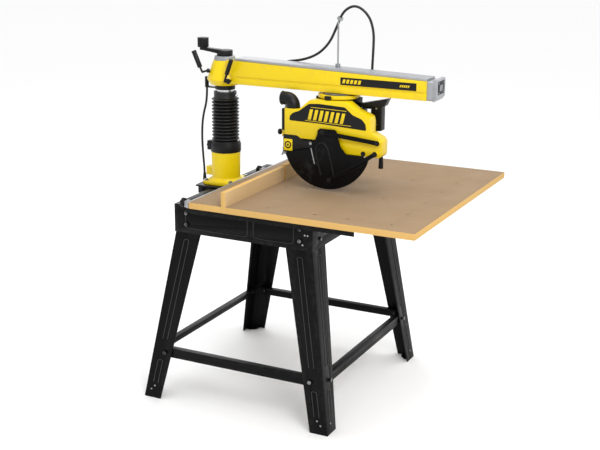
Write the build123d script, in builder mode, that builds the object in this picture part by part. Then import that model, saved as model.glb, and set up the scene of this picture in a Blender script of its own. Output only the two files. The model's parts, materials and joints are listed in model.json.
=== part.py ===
from build123d import *
import math
import os

# Radial arm saw on a splayed steel stand.
# Millimetres, +Z up, the operator stands at -Y, the blade is on the -X side of the arm.
# Every piece is drawn around the column axis (X = Y = 0) with the floor at Z = 0, and save()
# shifts it so that the origin is the centre of the footprint.

# ---------------------------------------------------------------- driving dimensions
table_top = 800.0
table_width = 948.0
board_thick = 22.0
table_front = 960.0          # column axis to the front edge of the board
table_rear = 123.0           # column axis to the rear edge of the rear board
fence_front = 270.0          # column axis to the front face of the fence
fence_thick = 18.0
fence_rise = 52.0            # fence above the board
fence_kerf_left = -36.0
fence_kerf_right = -23.0
fence_step = 3.0             # the right fence stands this much higher

frame_half = 354.0           # stand frame, half width
frame_rear = 12.0
frame_front = 544.0
frame_bottom = 647.0
frame_top = 751.0
sheet = 2.5                  # pressed steel of the frame
foot_half = 414.5
foot_rear = 127.0
foot_front = 637.0
leg_wall = 3.0
leg_flange_top = 108.0
leg_flange_bottom = 70.0
leg_top = 735.0
rail_mid = 184.0             # height of the lower rails
rail_tall = 36.0
rail_deep = 24.0
bolt_radius = 4.0
bolt_clear = 0.3

column_radius = 34.0
column_bore = 26.0
column_bottom = 705.0
column_top = 1196.0
sleeve_radius = 56.0
sleeve_top = 878.0
slip = 0.3                   # clearance between pieces that move on each other
bellows_radius = 52.0
bellows_inner = 37.5
bellows_folds = 13
screw_radius = 8.0

arm_bottom = 1145.0
arm_half = 43.0
arm_end = 822.0
arm_height_rear = 87.0
arm_height_front = 67.0
arm_wall = 6.0
slot_half = 25.0             # slot under the arm that the carriage hangs through
ledge = 11.0
rod_radius = 4.0             # track rods
head_top = 1227.0
head_top_radius = 43.0
head_wide_radius = 68.0
head_wide_height = 1156.0
head_bottom_radius = 54.0

carriage = 474.0             # column axis to the yoke's swivel axis, as it stands
ring_radius = 76.0
ring_bottom = 1127.0
arbor_height = 978.0
yoke_half = 28.0
yoke_reach = 80.0
yoke_wall = 14.0
motor_radius = 62.0
motor_length = 150.0
blade_radius = 140.0
blade_plane = -65.0
blade_thick = 2.6
guard_outer = -98.0
guard_inner = -46.0
guard_wall = 2.5
dish_radius = 170.8
dish_face = -109.0
dish_rim = -101.0
link_face = -115.0
link_thick = 4.0

cable_radius = 4.7
supply_radius = 4.2

column_y = (table_front - foot_rear) / 2

os.makedirs("parts", exist_ok=True)


def save(builder, name):
    """Label a finished piece, shift it into the footprint frame and write it."""
    piece = builder.part.moved(Location((0, column_y, 0)))
    piece.label = name
    export_step(piece, f"parts/{name}.step")


def block(low, high, mode=Mode.ADD):
    """A box between two corners, in the current part."""
    size = [b - a for a, b in zip(low, high)]
    middle = [(a + b) / 2 for a, b in zip(low, high)]
    with Locations(tuple(middle)):
        Box(*size, mode=mode)


def rod(start, end, radius, mode=Mode.ADD):
    """A round bar between two points, in the current part."""
    start, end = Vector(*start), Vector(*end)
    with BuildSketch(Plane(origin=start, z_dir=end - start)) as section:
        Circle(radius)
    extrude(section.sketch, amount=(end - start).length, mode=mode)


def side_plate(points, low_x, high_x, mode=Mode.ADD):
    """A flat outline of (y, z) points made solid between two X values."""
    with BuildSketch(Plane.YZ.offset(low_x)) as outline:
        Polygon(*points, align=None)
    extrude(outline.sketch, amount=high_x - low_x, mode=mode)


# ---------------------------------------------------------------- stand legs
corner_gap = sheet + 0.2
lean_x = (foot_half - frame_half + corner_gap) / frame_bottom
lean_rear = (foot_rear - frame_rear + corner_gap) / frame_bottom
lean_front = (foot_front - frame_front + corner_gap) / frame_bottom


def leg_corner(side, end, z):
    """Outer corner of a leg at height z; side is -1 or 1, end is -1 front or 1 rear."""
    x = side * (foot_half - lean_x * z)
    y = foot_rear - lean_rear * z if end > 0 else -(foot_front - lean_front * z)
    return x, y


def leg_flange(z):
    return leg_flange_bottom + (leg_flange_top - leg_flange_bottom) * z / leg_top


def leg_section(side, end, z):
    x, y = leg_corner(side, end, z)
    flange = leg_flange(z)
    inward = [(0, 0), (flange, 0), (flange, leg_wall), (leg_wall, leg_wall), (leg_wall, flange),
              (0, flange)]
    return [(x - side * u, y - end * v) for u, v in inward]


bolt_z_frame = (680.0, 722.0)


def leg_bolt_lines():
    """Each stand bolt as (where its head bears, the way it points, its length)."""
    lines = []
    for side in (-1, 1):
        for end in (-1, 1):
            face_y = frame_rear if end > 0 else -frame_front
            for z in bolt_z_frame:
                lines.append(((side * frame_half, face_y - end * 50, z), (-side, 0, 0), 16.0))
                lines.append(((side * (frame_half - 60), face_y, z), (0, -end, 0), 16.0))
            x, y = leg_corner(side, end, rail_mid)
            lines.append(((side * (abs(x) + 2), y - end * 52, rail_mid), (-side, 0, 0), 18.0))
            lines.append(((x - side * 52, y + end * 3, rail_mid), (0, -end, 0), 22.0))
    return lines


bolts = leg_bolt_lines()


def cut_bolt_holes():
    for start, way, depth in bolts:
        begin = Vector(*start) - Vector(*way) * 20
        rod(begin, begin + Vector(*way) * (depth + 50), bolt_radius + bolt_clear, Mode.SUBTRACT)


leg_names = {(-1, -1): "leg_front_left", (1, -1): "leg_front_right", (-1, 1): "leg_rear_left",
             (1, 1): "leg_rear_right"}
for (side, end), leg_name in leg_names.items():
    with BuildPart() as leg:
        for z in (0.0, leg_top):
            with BuildSketch(Plane.XY.offset(z)):
                Polygon(*leg_section(side, end, z), align=None)
        loft(ruled=True)
        x, y = leg_corner(side, end, 0)
        toe = [(x, y), (x - side * 46, y), (x - side * 46, y - end * 26), (x - side * 26, y - end * 46),
               (x, y - end * 46)]
        with BuildSketch(Plane.XY):
            Polygon(*toe, align=None)
        extrude(amount=leg_wall)
        with Locations((x - side * 24, y - end * 24, leg_wall)):
            Hole(radius=4.5, depth=leg_wall)
        cut_bolt_holes()
    save(leg, leg_name)

# ---------------------------------------------------------------- frame panels
flange_in = 26.0
clear_leg = leg_flange_top + 14
with BuildPart() as side_panels:
    for side in (-1, 1):
        outer = side * frame_half
        inner = side * (frame_half - sheet)
        low_x, high_x = sorted((outer, inner))
        block((low_x, -frame_front, frame_bottom), (high_x, frame_rear, frame_top))
        edge = side * (frame_half - flange_in)
        low_x, high_x = sorted((outer, edge))
        block((low_x, -frame_front, frame_top - sheet), (high_x, frame_rear, frame_top))
        block((low_x, -frame_front + clear_leg, frame_bottom),
              (high_x, frame_rear - clear_leg, frame_bottom + sheet))
    cut_bolt_holes()
save(side_panels, "side_panels")

cutout_half = 66.0
inside = frame_half - flange_in
with BuildPart() as end_panels:
    for face, way in ((frame_rear, 1), (-frame_front, -1)):
        low_y, high_y = sorted((face, face - way * sheet))
        wide = frame_half - sheet
        block((-wide, low_y, frame_bottom), (wide, high_y, frame_top - sheet))
        low_y, high_y = sorted((face, face - way * flange_in))
        block((-inside, low_y, frame_top - sheet), (inside, high_y, frame_top))
        block((-wide + clear_leg, low_y, frame_bottom), (wide - clear_leg, high_y, frame_bottom + sheet))
    block((-cutout_half, frame_rear - flange_in, 668), (cutout_half, frame_rear, frame_top),
          mode=Mode.SUBTRACT)
    block((-20, frame_rear - flange_in, frame_bottom), (20, frame_rear - sheet, frame_bottom + sheet),
          mode=Mode.SUBTRACT)
    cut_bolt_holes()
save(end_panels, "end_panels")

# ---------------------------------------------------------------- lower rails
rail_low = rail_mid - rail_tall / 2
rail_high = rail_mid + rail_tall / 2
rail_x = leg_corner(1, 1, rail_high)[0] - leg_wall - 0.4
rail_rear = leg_corner(1, 1, rail_high)[1] - leg_wall - 0.4
rail_front = -leg_corner(1, -1, rail_high)[1] - leg_wall - 0.4
rail_inset = 30.0
with BuildPart() as lower_rails:
    for side in (-1, 1):
        low_x, high_x = sorted((side * rail_x, side * (rail_x - sheet)))
        block((low_x, -rail_front + rail_inset, rail_low), (high_x, rail_rear - rail_inset, rail_high))
        low_x, high_x = sorted((side * rail_x, side * (rail_x - rail_deep)))
        block((low_x, -rail_front + rail_inset, rail_high - sheet),
              (high_x, rail_rear - rail_inset, rail_high))
    for face, way in ((rail_rear, 1), (-rail_front, -1)):
        reach = rail_x - rail_inset
        low_y, high_y = sorted((face, face - way * sheet))
        block((-reach, low_y, rail_low), (reach, high_y, rail_high))
        low_y, high_y = sorted((face, face - way * rail_deep))
        block((-reach, low_y, rail_high - sheet), (reach, high_y, rail_high))
    cut_bolt_holes()
save(lower_rails, "lower_rails")

# ---------------------------------------------------------------- stand bolts
head_high = 5.0
with BuildPart() as stand_bolts:
    for start, way, depth in bolts:
        begin = Vector(*start)
        way = Vector(*way)
        rod(begin - way * head_high, begin, 7.0)
        rod(begin, begin + way * depth, bolt_radius)
save(stand_bolts, "stand_bolts")

# ---------------------------------------------------------------- table
board_low = table_top - board_thick
half_table = table_width / 2
bar_width = 40.0
side_rail_outer = half_table - 34
side_rail_inner = side_rail_outer - bar_width
cross_bars = (-155.0, -480.0)
side_rail_rear = -92.0
side_rail_front = -735.0
with BuildPart() as table_frame:
    for side in (-1, 1):
        low_x, high_x = sorted((side * side_rail_outer, side * side_rail_inner))
        block((low_x, side_rail_front, frame_top), (high_x, side_rail_rear, board_low))
        low_x, high_x = sorted((side * (side_rail_outer - sheet), side * (side_rail_inner - 1)))
        block((low_x, side_rail_front - 1, frame_top - 1),
              (high_x, side_rail_rear + 1, board_low - sheet), mode=Mode.SUBTRACT)
    for y in cross_bars:
        low_y, high_y = y - bar_width / 2, y + bar_width / 2
        block((-side_rail_inner - 0.5, low_y, frame_top), (side_rail_inner + 0.5, high_y, board_low))
        block((-side_rail_inner - 1, low_y + sheet, frame_top - 1),
              (side_rail_inner + 1, high_y - sheet, board_low - sheet),
              mode=Mode.SUBTRACT)
save(table_frame, "table_frame")

# Each screw stands at a share of the table's half width.
screw_points = [(share * half_table, y) for share in (-0.861, -0.226, 0.392)
                for y in (-397.0, -577.0, -697.0)]
screw_points += [(share * half_table, -852.0) for share in (-0.852, -0.549, -0.207, 0.150, 0.481)]
screw_points += [(-0.236 * half_table, -313.0)]
screw_head = 5.5
screw_shank = 2.5
screw_deep = 18.0
with BuildPart() as table_board:
    block((-half_table, -table_front, board_low), (half_table, -fence_front, table_top))
    with Locations(*[(x, y, table_top) for x, y in screw_points]):
        CounterSinkHole(radius=screw_shank, counter_sink_radius=screw_head, depth=screw_deep,
                        counter_sink_angle=90)
save(table_board, "table_board")

screw_sunk = 0.8             # the heads sit this far under the surface
with BuildPart() as table_screws:
    for x, y in screw_points:
        with BuildSketch(Plane(origin=(x, y, 0), x_dir=(1, 0, 0), z_dir=(0, -1, 0))):
            top = table_top - screw_sunk
            wide = screw_head - screw_sunk
            Polygon((0, top), (wide, top), (screw_shank, top - wide + screw_shank),
                    (screw_shank, table_top - screw_deep), (0, table_top - screw_deep), align=None)
        revolve(axis=Axis((x, y, 0), (0, 0, 1)))
save(table_screws, "table_screws")

with BuildPart() as rear_board:
    fence_back = -(fence_front - fence_thick)
    block((-half_table, fence_back, board_low), (half_table, -table_rear, table_top))
save(rear_board, "rear_board")

with BuildPart() as fence_left:
    block((-half_table, -fence_front, board_low), (fence_kerf_left, fence_back, table_top + fence_rise))
    chamfer(fence_left.edges().filter_by(Axis.X).group_by(Axis.Z)[-1], length=1.0)
save(fence_left, "fence_left")

with BuildPart() as fence_right:
    block((fence_kerf_right, -fence_front, board_low),
          (half_table, fence_back, table_top + fence_rise + fence_step))
    chamfer(fence_right.edges().filter_by(Axis.X).group_by(Axis.Z)[-1], length=1.0)
save(fence_right, "fence_right")

# ---------------------------------------------------------------- board clamps
clamp_places = {"clamp_screw_left": 22 - half_table, "clamp_screw_right": 99.0}
clamp_z = table_top - 9
bar_front = -table_rear + 4
bar_back = bar_front + 8
clamp_block_back = bar_back + 12
clamp_half = 12.0
with BuildPart() as clamp_bar:
    block((-half_table + 4, bar_front, board_low), (half_table - 4, bar_back, table_top - 2))
    for x in clamp_places.values():
        block((x - clamp_half, bar_back, board_low), (x + clamp_half, clamp_block_back, table_top))
        rod((x, bar_front - 1, clamp_z), (x, clamp_block_back + 1, clamp_z), bolt_radius + bolt_clear,
            Mode.SUBTRACT)
save(clamp_bar, "clamp_bar")

knob_radius = 17.0
knob_deep = 13.0
for clamp_name, x in clamp_places.items():
    with BuildPart() as clamp_screw:
        knob_start = clamp_block_back + 2
        rod((x, -table_rear + 0.2, clamp_z), (x, knob_start, clamp_z), bolt_radius)
        with BuildSketch(Plane(origin=(x, knob_start, clamp_z), x_dir=(1, 0, 0), z_dir=(0, 1, 0))):
            Circle(knob_radius)
            with PolarLocations(knob_radius + 2, 6):
                Circle(4.5, mode=Mode.SUBTRACT)
        extrude(amount=knob_deep)
    save(clamp_screw, clamp_name)

# ---------------------------------------------------------------- column
plate_half = 100.0
plate_thick = 6.0
plate_front = -110.0
plate_rear = 78.0
base_low = frame_top + plate_thick
strap_inner = 57.0
strap_wall = 5.0
strap_bottom = 672.0
strap_half = 28.0
nut_radius = 20.0
with BuildPart() as column_bracket:
    block((-plate_half, plate_front, frame_top), (plate_half, plate_rear, base_low))
    block((-60, plate_rear - 4, 702), (60, plate_rear, frame_top))
    for side in (-1, 1):
        low_x, high_x = sorted((side * strap_inner, side * (strap_inner + strap_wall)))
        block((low_x, -strap_half, strap_bottom), (high_x, strap_half, frame_top))
    block((-strap_inner, -strap_half, strap_bottom), (strap_inner, strap_half, strap_bottom + strap_wall))
    rod((0, 0, strap_bottom), (0, 0, strap_bottom + 60), nut_radius)
    rod((0, 0, strap_bottom - 1), (0, 0, strap_bottom + 61), screw_radius + slip, Mode.SUBTRACT)
    rod((0, 0, frame_top - 1), (0, 0, base_low + 1), column_radius + 1, Mode.SUBTRACT)
save(column_bracket, "column_bracket")

foot_plate = 12.0
lug_reach = 80.0
lug_tall = 34.0
lug_half = 15.0
with BuildPart() as column_base:
    with BuildSketch(Plane.XY.offset(base_low)):
        RectangleRounded(150, 134, 18)
    extrude(amount=foot_plate)
    with BuildSketch(Plane.XZ):
        Polygon((0, base_low), (sleeve_radius + 6, base_low), (sleeve_radius + 6, base_low + foot_plate),
                (sleeve_radius - 2, base_low + foot_plate + 10), (sleeve_radius, sleeve_top),
                (0, sleeve_top), align=None)
    revolve(axis=Axis.Z)
    block((-lug_half, 40, base_low + 22), (lug_half, lug_reach, base_low + 22 + lug_tall))
    rod((0, 0, base_low - 1), (0, 0, sleeve_top + 1), column_radius + 0.05, Mode.SUBTRACT)
    block((-2, 30, base_low + 12), (2, lug_reach + 1, sleeve_top + 1), mode=Mode.SUBTRACT)
    with Locations(*[(x, y, base_low + foot_plate) for x in (-61, 61) for y in (-53, 53)]):
        Hole(radius=5.0, depth=foot_plate)
save(column_base, "column_base")

collar_step = 32.0
collar_tall = 43.0
collar_top = sleeve_top + collar_tall
with BuildPart() as bellows_collar:
    with BuildSketch(Plane.XY.offset(sleeve_top)):
        Circle(sleeve_radius + 2)
        Circle(column_radius + 1, mode=Mode.SUBTRACT)
    extrude(amount=collar_step)
    with BuildSketch(Plane.XY.offset(sleeve_top + collar_step)):
        Circle(sleeve_radius - 1)
        Circle(column_radius + 1, mode=Mode.SUBTRACT)
    extrude(amount=collar_tall - collar_step)
save(bellows_collar, "bellows_collar")

bellows_top = 1086.0
cuff_top = 1108.0
pitch = (bellows_top - collar_top) / bellows_folds
valley = bellows_radius - 10
wall = 2.0
with BuildPart() as bellows:
    outline = [(valley, collar_top)]
    for fold in range(bellows_folds):
        outline.append((bellows_radius, collar_top + (fold + 0.5) * pitch))
        outline.append((valley, collar_top + (fold + 1) * pitch))
    outline += [(bellows_inner + wall, bellows_top), (bellows_inner + wall, cuff_top),
                (bellows_inner, cuff_top)]
    outline += [(bellows_inner, bellows_top - 1), (valley - wall, bellows_top - 3)]
    for fold in reversed(range(bellows_folds)):
        outline.append((bellows_radius - wall, collar_top + (fold + 0.5) * pitch))
        outline.append((valley - wall, collar_top + fold * pitch))
    with BuildSketch(Plane.XZ):
        Polygon(*outline, align=None)
    revolve(axis=Axis.Z)
save(bellows, "bellows")

with BuildPart() as column_tube:
    with BuildSketch(Plane.XY.offset(column_bottom)):
        Circle(column_radius)
        Circle(column_bore, mode=Mode.SUBTRACT)
    extrude(amount=column_top - column_bottom)
save(column_tube, "column_tube")

neck_low = 1117.0
gland_y = 80.0
gland_top = 1158.0
with BuildPart() as column_neck:
    with BuildSketch(Plane.XY.offset(neck_low)):
        Circle(column_radius + 4)
    extrude(amount=arm_bottom - 10 - slip - neck_low)
    block((-9, 20, neck_low), (9, gland_y, neck_low + 5))
    rod((0, gland_y, neck_low), (0, gland_y, gland_top), 7.5)
    rod((0, 0, neck_low - 1), (0, 0, arm_bottom), column_radius, Mode.SUBTRACT)
save(column_neck, "column_neck")

# ---------------------------------------------------------------- arm head
head_low = arm_bottom - 10
head_profile = [(0, head_low), (head_bottom_radius, head_low), (head_wide_radius, head_wide_height),
                (head_top_radius, head_top), (0, head_top)]


def head_solid(mode=Mode.ADD):
    with BuildSketch(Plane.XZ) as outline:
        Polygon(*head_profile, align=None)
    revolve(outline.sketch, axis=Axis.Z, mode=mode)


with BuildPart() as arm_head:
    head_solid()
    rod((0, 0, head_low - 1), (0, 0, column_top + 2), column_radius + 0.08, Mode.SUBTRACT)
    rod((0, 0, column_top), (0, 0, head_top + 1), screw_radius + 1, Mode.SUBTRACT)
save(arm_head, "arm_head")

cap_high = 15.0
with BuildPart() as head_cap:
    with BuildSketch(Plane.XY.offset(head_top)):
        Circle(head_top_radius - 2)
        Circle(screw_radius + 1, mode=Mode.SUBTRACT)
    extrude(amount=cap_high, taper=12)
save(head_cap, "head_cap")

# ---------------------------------------------------------------- elevating screw and crank
hub_low = head_top + cap_high + 1
screw_low = 600.0
with BuildPart() as elevating_screw:
    rod((0, 0, screw_low), (0, 0, hub_low), screw_radius)
save(elevating_screw, "elevating_screw")

crank_x = -26.0
crank_y = 78.0
crank_knob_low = 1273.0
crank_knob_high = 1308.0
crank_knob_radius = 21.0
crank_root_wide, crank_root_thick = 36.0, 17.0
crank_tip_wide, crank_tip_thick = 24.0, 10.0
with BuildPart() as crank:
    rod((0, 0, hub_low), (0, 0, hub_low + 20), 30)
    tip = Vector(crank_x, crank_y, crank_knob_low - 6)
    start = Vector(0, 0, hub_low + 12)
    slope = Plane(origin=start, x_dir=(-crank_y, crank_x, 0), z_dir=tip - start)
    with BuildSketch(slope):
        Rectangle(crank_root_wide, crank_root_thick)
    with BuildSketch(slope.offset((tip - start).length)):
        Rectangle(crank_tip_wide, crank_tip_thick)
    loft()
    rod((crank_x, crank_y, crank_knob_low - 11), (crank_x, crank_y, crank_knob_low), 13)
    with BuildSketch(Plane(origin=(crank_x, crank_y, crank_knob_low))):
        Circle(crank_knob_radius)
        with PolarLocations(crank_knob_radius + 1, 10):
            Circle(3.2, mode=Mode.SUBTRACT)
    extrude(amount=crank_knob_high - crank_knob_low)
save(crank, "crank")

# ---------------------------------------------------------------- arm
arm_root = 30.0
arm_rise = (arm_height_rear - arm_height_front) / (arm_end - arm_root)


def arm_top(y):
    """Height of the arm's top face at a distance y in front of the column."""
    return arm_bottom + arm_height_rear - (y - arm_root) * arm_rise


gland_x = arm_half + 8
cable_end_y = -92.0
cable_end_z = 1208.0
with BuildPart() as arm_beam:
    side_plate([(-arm_root, arm_bottom), (-arm_end, arm_bottom), (-arm_end, arm_top(arm_end)),
                (-arm_root, arm_top(arm_root))],
               -arm_half, arm_half)
    side_plate([(-112, arm_bottom + ledge), (-arm_end - 1, arm_bottom + ledge),
                (-arm_end - 1, arm_top(arm_end + 1) - arm_wall), (-112, arm_top(112) - arm_wall)],
               -arm_half + arm_wall, arm_half - arm_wall, Mode.SUBTRACT)
    block((-slot_half, -arm_end - 1, arm_bottom - 1), (slot_half, -112, arm_bottom + ledge + 1),
          mode=Mode.SUBTRACT)
    for side in (-1, 1):
        low_x, high_x = sorted((side * (arm_half - 1.5), side * (arm_half + 1)))
        block((low_x, -arm_end - 1, 1171), (high_x, -70, 1174), mode=Mode.SUBTRACT)
    block((arm_half - 2, cable_end_y, cable_end_z - 10),
          (gland_x + 8, cable_end_y + 20, cable_end_z + 10))
    head_solid(Mode.SUBTRACT)
    rod((0, 0, head_top - 1), (0, 0, arm_top(0) + 2), head_top_radius - 1.5, Mode.SUBTRACT)
save(arm_beam, "arm_beam")

cover_thick = 9.0
with BuildPart() as arm_top_cover:
    rear, front = 62.0, arm_end
    side_plate([(-rear, arm_top(rear)), (-front, arm_top(front)), (-front, arm_top(front) + cover_thick),
                (-rear, arm_top(rear) + cover_thick)], -arm_half + 5, arm_half - 5)
save(arm_top_cover, "arm_top_cover")

rod_x = arm_half - arm_wall - 6
rod_z = arm_bottom + ledge + rod_radius
with BuildPart() as track_rods:
    for side in (-1, 1):
        rod((side * rod_x, -112, rod_z), (side * rod_x, -arm_end, rod_z), rod_radius)
save(track_rods, "track_rods")

nose_deep = 23.0
cap_deep = 14.0
cap_tall = 75.0
nose_end = arm_end + nose_deep
with BuildPart() as arm_nose:
    block((-arm_half + 2, -nose_end, arm_bottom + 1), (arm_half - 2, -arm_end, arm_top(arm_end) + 1))
    fillet(arm_nose.edges().filter_by(Axis.Y), radius=5)
save(arm_nose, "arm_nose")

with BuildPart() as arm_end_cap:
    side_plate([(-nose_end, arm_bottom - 1), (-nose_end - 6, arm_bottom - 1),
                (-nose_end - cap_deep, arm_bottom + 12), (-nose_end - cap_deep, arm_bottom + cap_tall),
                (-nose_end, arm_bottom + cap_tall)], -arm_half - 1, arm_half + 1)
    fillet(arm_end_cap.edges().filter_by(Axis.X).group_by(Axis.Y)[0], radius=4)
save(arm_end_cap, "arm_end_cap")

# ---------------------------------------------------------------- levers of the arm head
with BuildPart() as mitre_clamp_lever:
    rod((-41, 41, 1188), (-49, 49, 1188), 2.5)
    rod((-42.8, 42.8, 1188), (-49, 49, 1188), 8)
    rod((-49, 49, 1188), (-62, 62, 1184), 4)
    with Locations((-62, 62, 1184)):
        Sphere(4)
    rod((-62, 62, 1184), (-62, 72, 1203), 4)
    rod((-62, 71, 1201), (-62, 98, 1261), 9)
save(mitre_clamp_lever, "mitre_clamp_lever")

latch_y = -52.0
latch_z = 1158.0
with BuildPart() as mitre_latch_lever:
    rod((-48.5, latch_y, latch_z), (-66, latch_y, latch_z), 4)
    rod((-70, latch_y, latch_z), (-66, latch_y, latch_z), 10)
    rod((-68, latch_y, latch_z), (-68, -37, 1156), 4)
    with Locations((-68, -37, 1156)):
        Sphere(4)
    rod((-68, -37, 1156), (-68, -47, 1186), 4)
    rod((-68, -46, 1184), (-68, -67, 1240), 8)
save(mitre_latch_lever, "mitre_latch_lever")

# ---------------------------------------------------------------- carriage in the arm
roller_radius = rod_x - rod_radius - 14 - 0.1
roller_x = 14.0
roller_y = 55.0
roller_low = rod_z - rod_radius + slip
roller_high = rod_z + 6
axle_radius = 4.0
body_low = roller_high + 2
flange_high = arm_bottom - 2
ring_top = arm_bottom - 7
post_x = 58.0
post_y = -575.0
post_top = 1165.0
knob_y = -carriage + 28
knob_z = 1157.0
lug_inner = arm_half + 6
lug_outer = lug_inner + 12
with BuildPart() as carriage_body:
    block((-33, -carriage - 75, body_low), (33, -carriage + 75, body_low + 12))
    rod((0, -carriage, ring_top), (0, -carriage, body_low + 1), 22)
    rod((0, -carriage, ring_top), (0, -carriage, flange_high), 60)
    for x in (-roller_x, roller_x):
        for y in (-roller_y, roller_y):
            rod((x, -carriage + y, roller_low - 1), (x, -carriage + y, body_low + 1), axle_radius)
    block((20, -592, ring_top), (68, -505, flange_high))
    rod((post_x, post_y, flange_high - 1), (post_x, post_y, post_top), 8)
    block((30, knob_y - 14, ring_top), (lug_outer, knob_y + 14, flange_high))
    block((lug_inner, knob_y - 14, ring_top), (lug_outer, knob_y + 14, knob_z + 12))
    rod((lug_inner - 1, knob_y, knob_z), (lug_outer + 1, knob_y, knob_z), axle_radius + 0.05,
        Mode.SUBTRACT)
save(carriage_body, "carriage_body")

for index, (x, y) in enumerate(((-1, -1), (1, -1), (-1, 1), (1, 1)), start=1):
    with BuildPart() as roller:
        with BuildSketch(Plane(origin=(x * roller_x, -carriage + y * roller_y, roller_low))):
            Circle(roller_radius)
            Circle(axle_radius + 0.05, mode=Mode.SUBTRACT)
        extrude(amount=roller_high - roller_low)
    save(roller, f"carriage_roller_{index}")

latch_place = -carriage + 7
latch_height = 1132.5
with BuildPart() as swivel_ring:
    with BuildSketch(Plane(origin=(0, -carriage, ring_bottom))):
        Circle(ring_radius)
        Circle(24, mode=Mode.SUBTRACT)
    extrude(amount=ring_top - ring_bottom)
    rod((-ring_radius - 1, latch_place, latch_height), (-ring_radius + 20, latch_place, latch_height),
        3.3, Mode.SUBTRACT)
save(swivel_ring, "swivel_ring")

with BuildPart() as carriage_knob:
    rod((arm_half + slip, knob_y, knob_z), (lug_outer + 10, knob_y, knob_z), axle_radius)
    with BuildSketch(Plane.YZ.offset(lug_outer + 6)):
        with Locations((knob_y, knob_z)):
            Circle(14)
            with PolarLocations(15, 6):
                Circle(3.5, mode=Mode.SUBTRACT)
    extrude(amount=16)
save(carriage_knob, "carriage_knob")

with BuildPart() as yoke_latch:
    block((-ring_radius - 12, -carriage - 4, ring_bottom + slip),
          (-ring_radius - 1, -carriage + 18, ring_top + 1))
    rod((-ring_radius - 2, latch_place, latch_height), (-ring_radius + 12, latch_place, latch_height), 3)
save(yoke_latch, "yoke_latch")

# ---------------------------------------------------------------- yoke and handle
yoke_high = ring_bottom - slip
top_plate = 22.0
boss_radius = 24.0
trunnion = 12.0
with BuildPart() as yoke:
    block((-yoke_half, -carriage - yoke_reach, yoke_high - top_plate),
          (yoke_half, -carriage + yoke_reach, yoke_high))
    for way in (-1, 1):
        near = -carriage + way * (yoke_reach - yoke_wall)
        far = -carriage + way * yoke_reach
        low_y, high_y = sorted((near, far))
        block((-yoke_half + 4, low_y, arbor_height), (yoke_half - 4, high_y, yoke_high - 1))
        rod((0, low_y, arbor_height), (0, high_y, arbor_height), boss_radius)
        rod((0, low_y - 1, arbor_height), (0, high_y + 1, arbor_height), trunnion + 0.05, Mode.SUBTRACT)
    rod((0, -carriage, yoke_high - 1), (0, -carriage, ring_top - 1), 20)
save(yoke, "yoke")

handle_low_x = -14.0
handle_high_x = 20.0
handle_rear = -carriage - yoke_reach
trigger_low = 1070.0
trigger_high = 1092.0
grip_rear = -607.0
with BuildPart() as handle:
    side_plate([(handle_rear, 1108), (-667, 1134), (-655, 1107), (-645, 1105), (-645, 1018),
                (grip_rear, 1014),
                (grip_rear, 1094), (-578, 1094), (-575, 1070), (handle_rear, 1070)], handle_low_x,
               handle_high_x)
    fillet(handle.edges().filter_by(Axis.X).group_by(Axis.Z)[0], radius=6)
    block((handle_low_x + 8, grip_rear - 9, trigger_low - 1),
          (handle_high_x - 8, grip_rear + 1, trigger_high + 1),
          mode=Mode.SUBTRACT)
save(handle, "handle")

with BuildPart() as trigger:
    block((handle_low_x + 9, grip_rear - 2.5, trigger_low),
          (handle_high_x - 9, grip_rear + 7, trigger_high))
    fillet(trigger.edges().filter_by(Axis.X).group_by(Axis.Y)[-1], radius=3)
save(trigger, "trigger")

lever_y = -642.0
with BuildPart() as bevel_lever:
    rod((0, handle_rear - 1, arbor_height), (0, lever_y - 10, arbor_height), 7)
    rod((0, lever_y - 10, arbor_height), (0, lever_y + 10, arbor_height), 12)
    rod((0, lever_y, arbor_height - 8), (0, lever_y, arbor_height - 40), 5)
    with BuildSketch(Plane.XY.offset(arbor_height - 99)):
        with Locations((0, lever_y)):
            Circle(9)
    with BuildSketch(Plane.XY.offset(arbor_height - 38)):
        with Locations((0, lever_y)):
            Circle(6.5)
    loft()
save(bevel_lever, "bevel_lever")

# ---------------------------------------------------------------- motor
motor_left = -28.0
motor_right = motor_left + motor_length
with BuildPart() as motor_housing:
    rod((motor_left, -carriage, arbor_height), (motor_right, -carriage, arbor_height), motor_radius)
    rod((0, -carriage - yoke_reach + 1, arbor_height), (0, -carriage + yoke_reach - 1, arbor_height),
        trunnion)
    rod((motor_left - 1, -carriage, arbor_height), (motor_left + 6, -carriage, arbor_height), 9,
        Mode.SUBTRACT)
save(motor_housing, "motor_housing")

with BuildPart() as motor_end_cover:
    with BuildSketch(Plane.YZ.offset(motor_right)):
        with Locations((-carriage, arbor_height)):
            Circle(motor_radius - 1)
    extrude(amount=30, taper=14)
    fillet(motor_end_cover.edges().group_by(Axis.X)[-1], radius=6)
save(motor_end_cover, "motor_end_cover")

# ---------------------------------------------------------------- blade
arbor_radius = 8.0
flange_radius = 24.0
flange_thick = 5.0
blade_left = blade_plane - blade_thick / 2
blade_right = blade_plane + blade_thick / 2
with BuildPart() as arbor:
    rod((motor_left + 5.5, -carriage, arbor_height), (-88, -carriage, arbor_height), arbor_radius)
    rod((blade_right, -carriage, arbor_height), (blade_right + flange_thick, -carriage, arbor_height),
        flange_radius)
    rod((blade_left - flange_thick, -carriage, arbor_height), (blade_left, -carriage, arbor_height),
        flange_radius)
    with BuildSketch(Plane.YZ.offset(blade_left - flange_thick - 10)):
        with Locations((-carriage, arbor_height)):
            RegularPolygon(radius=13, side_count=6)
    extrude(amount=10)
    with BuildSketch(Plane.YZ.offset(blade_left)):
        with Locations((-carriage, arbor_height)):
            Circle(blade_radius + 5)
            Circle(arbor_radius, mode=Mode.SUBTRACT)
    extrude(amount=blade_thick, mode=Mode.SUBTRACT)
save(arbor, "arbor")

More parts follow.
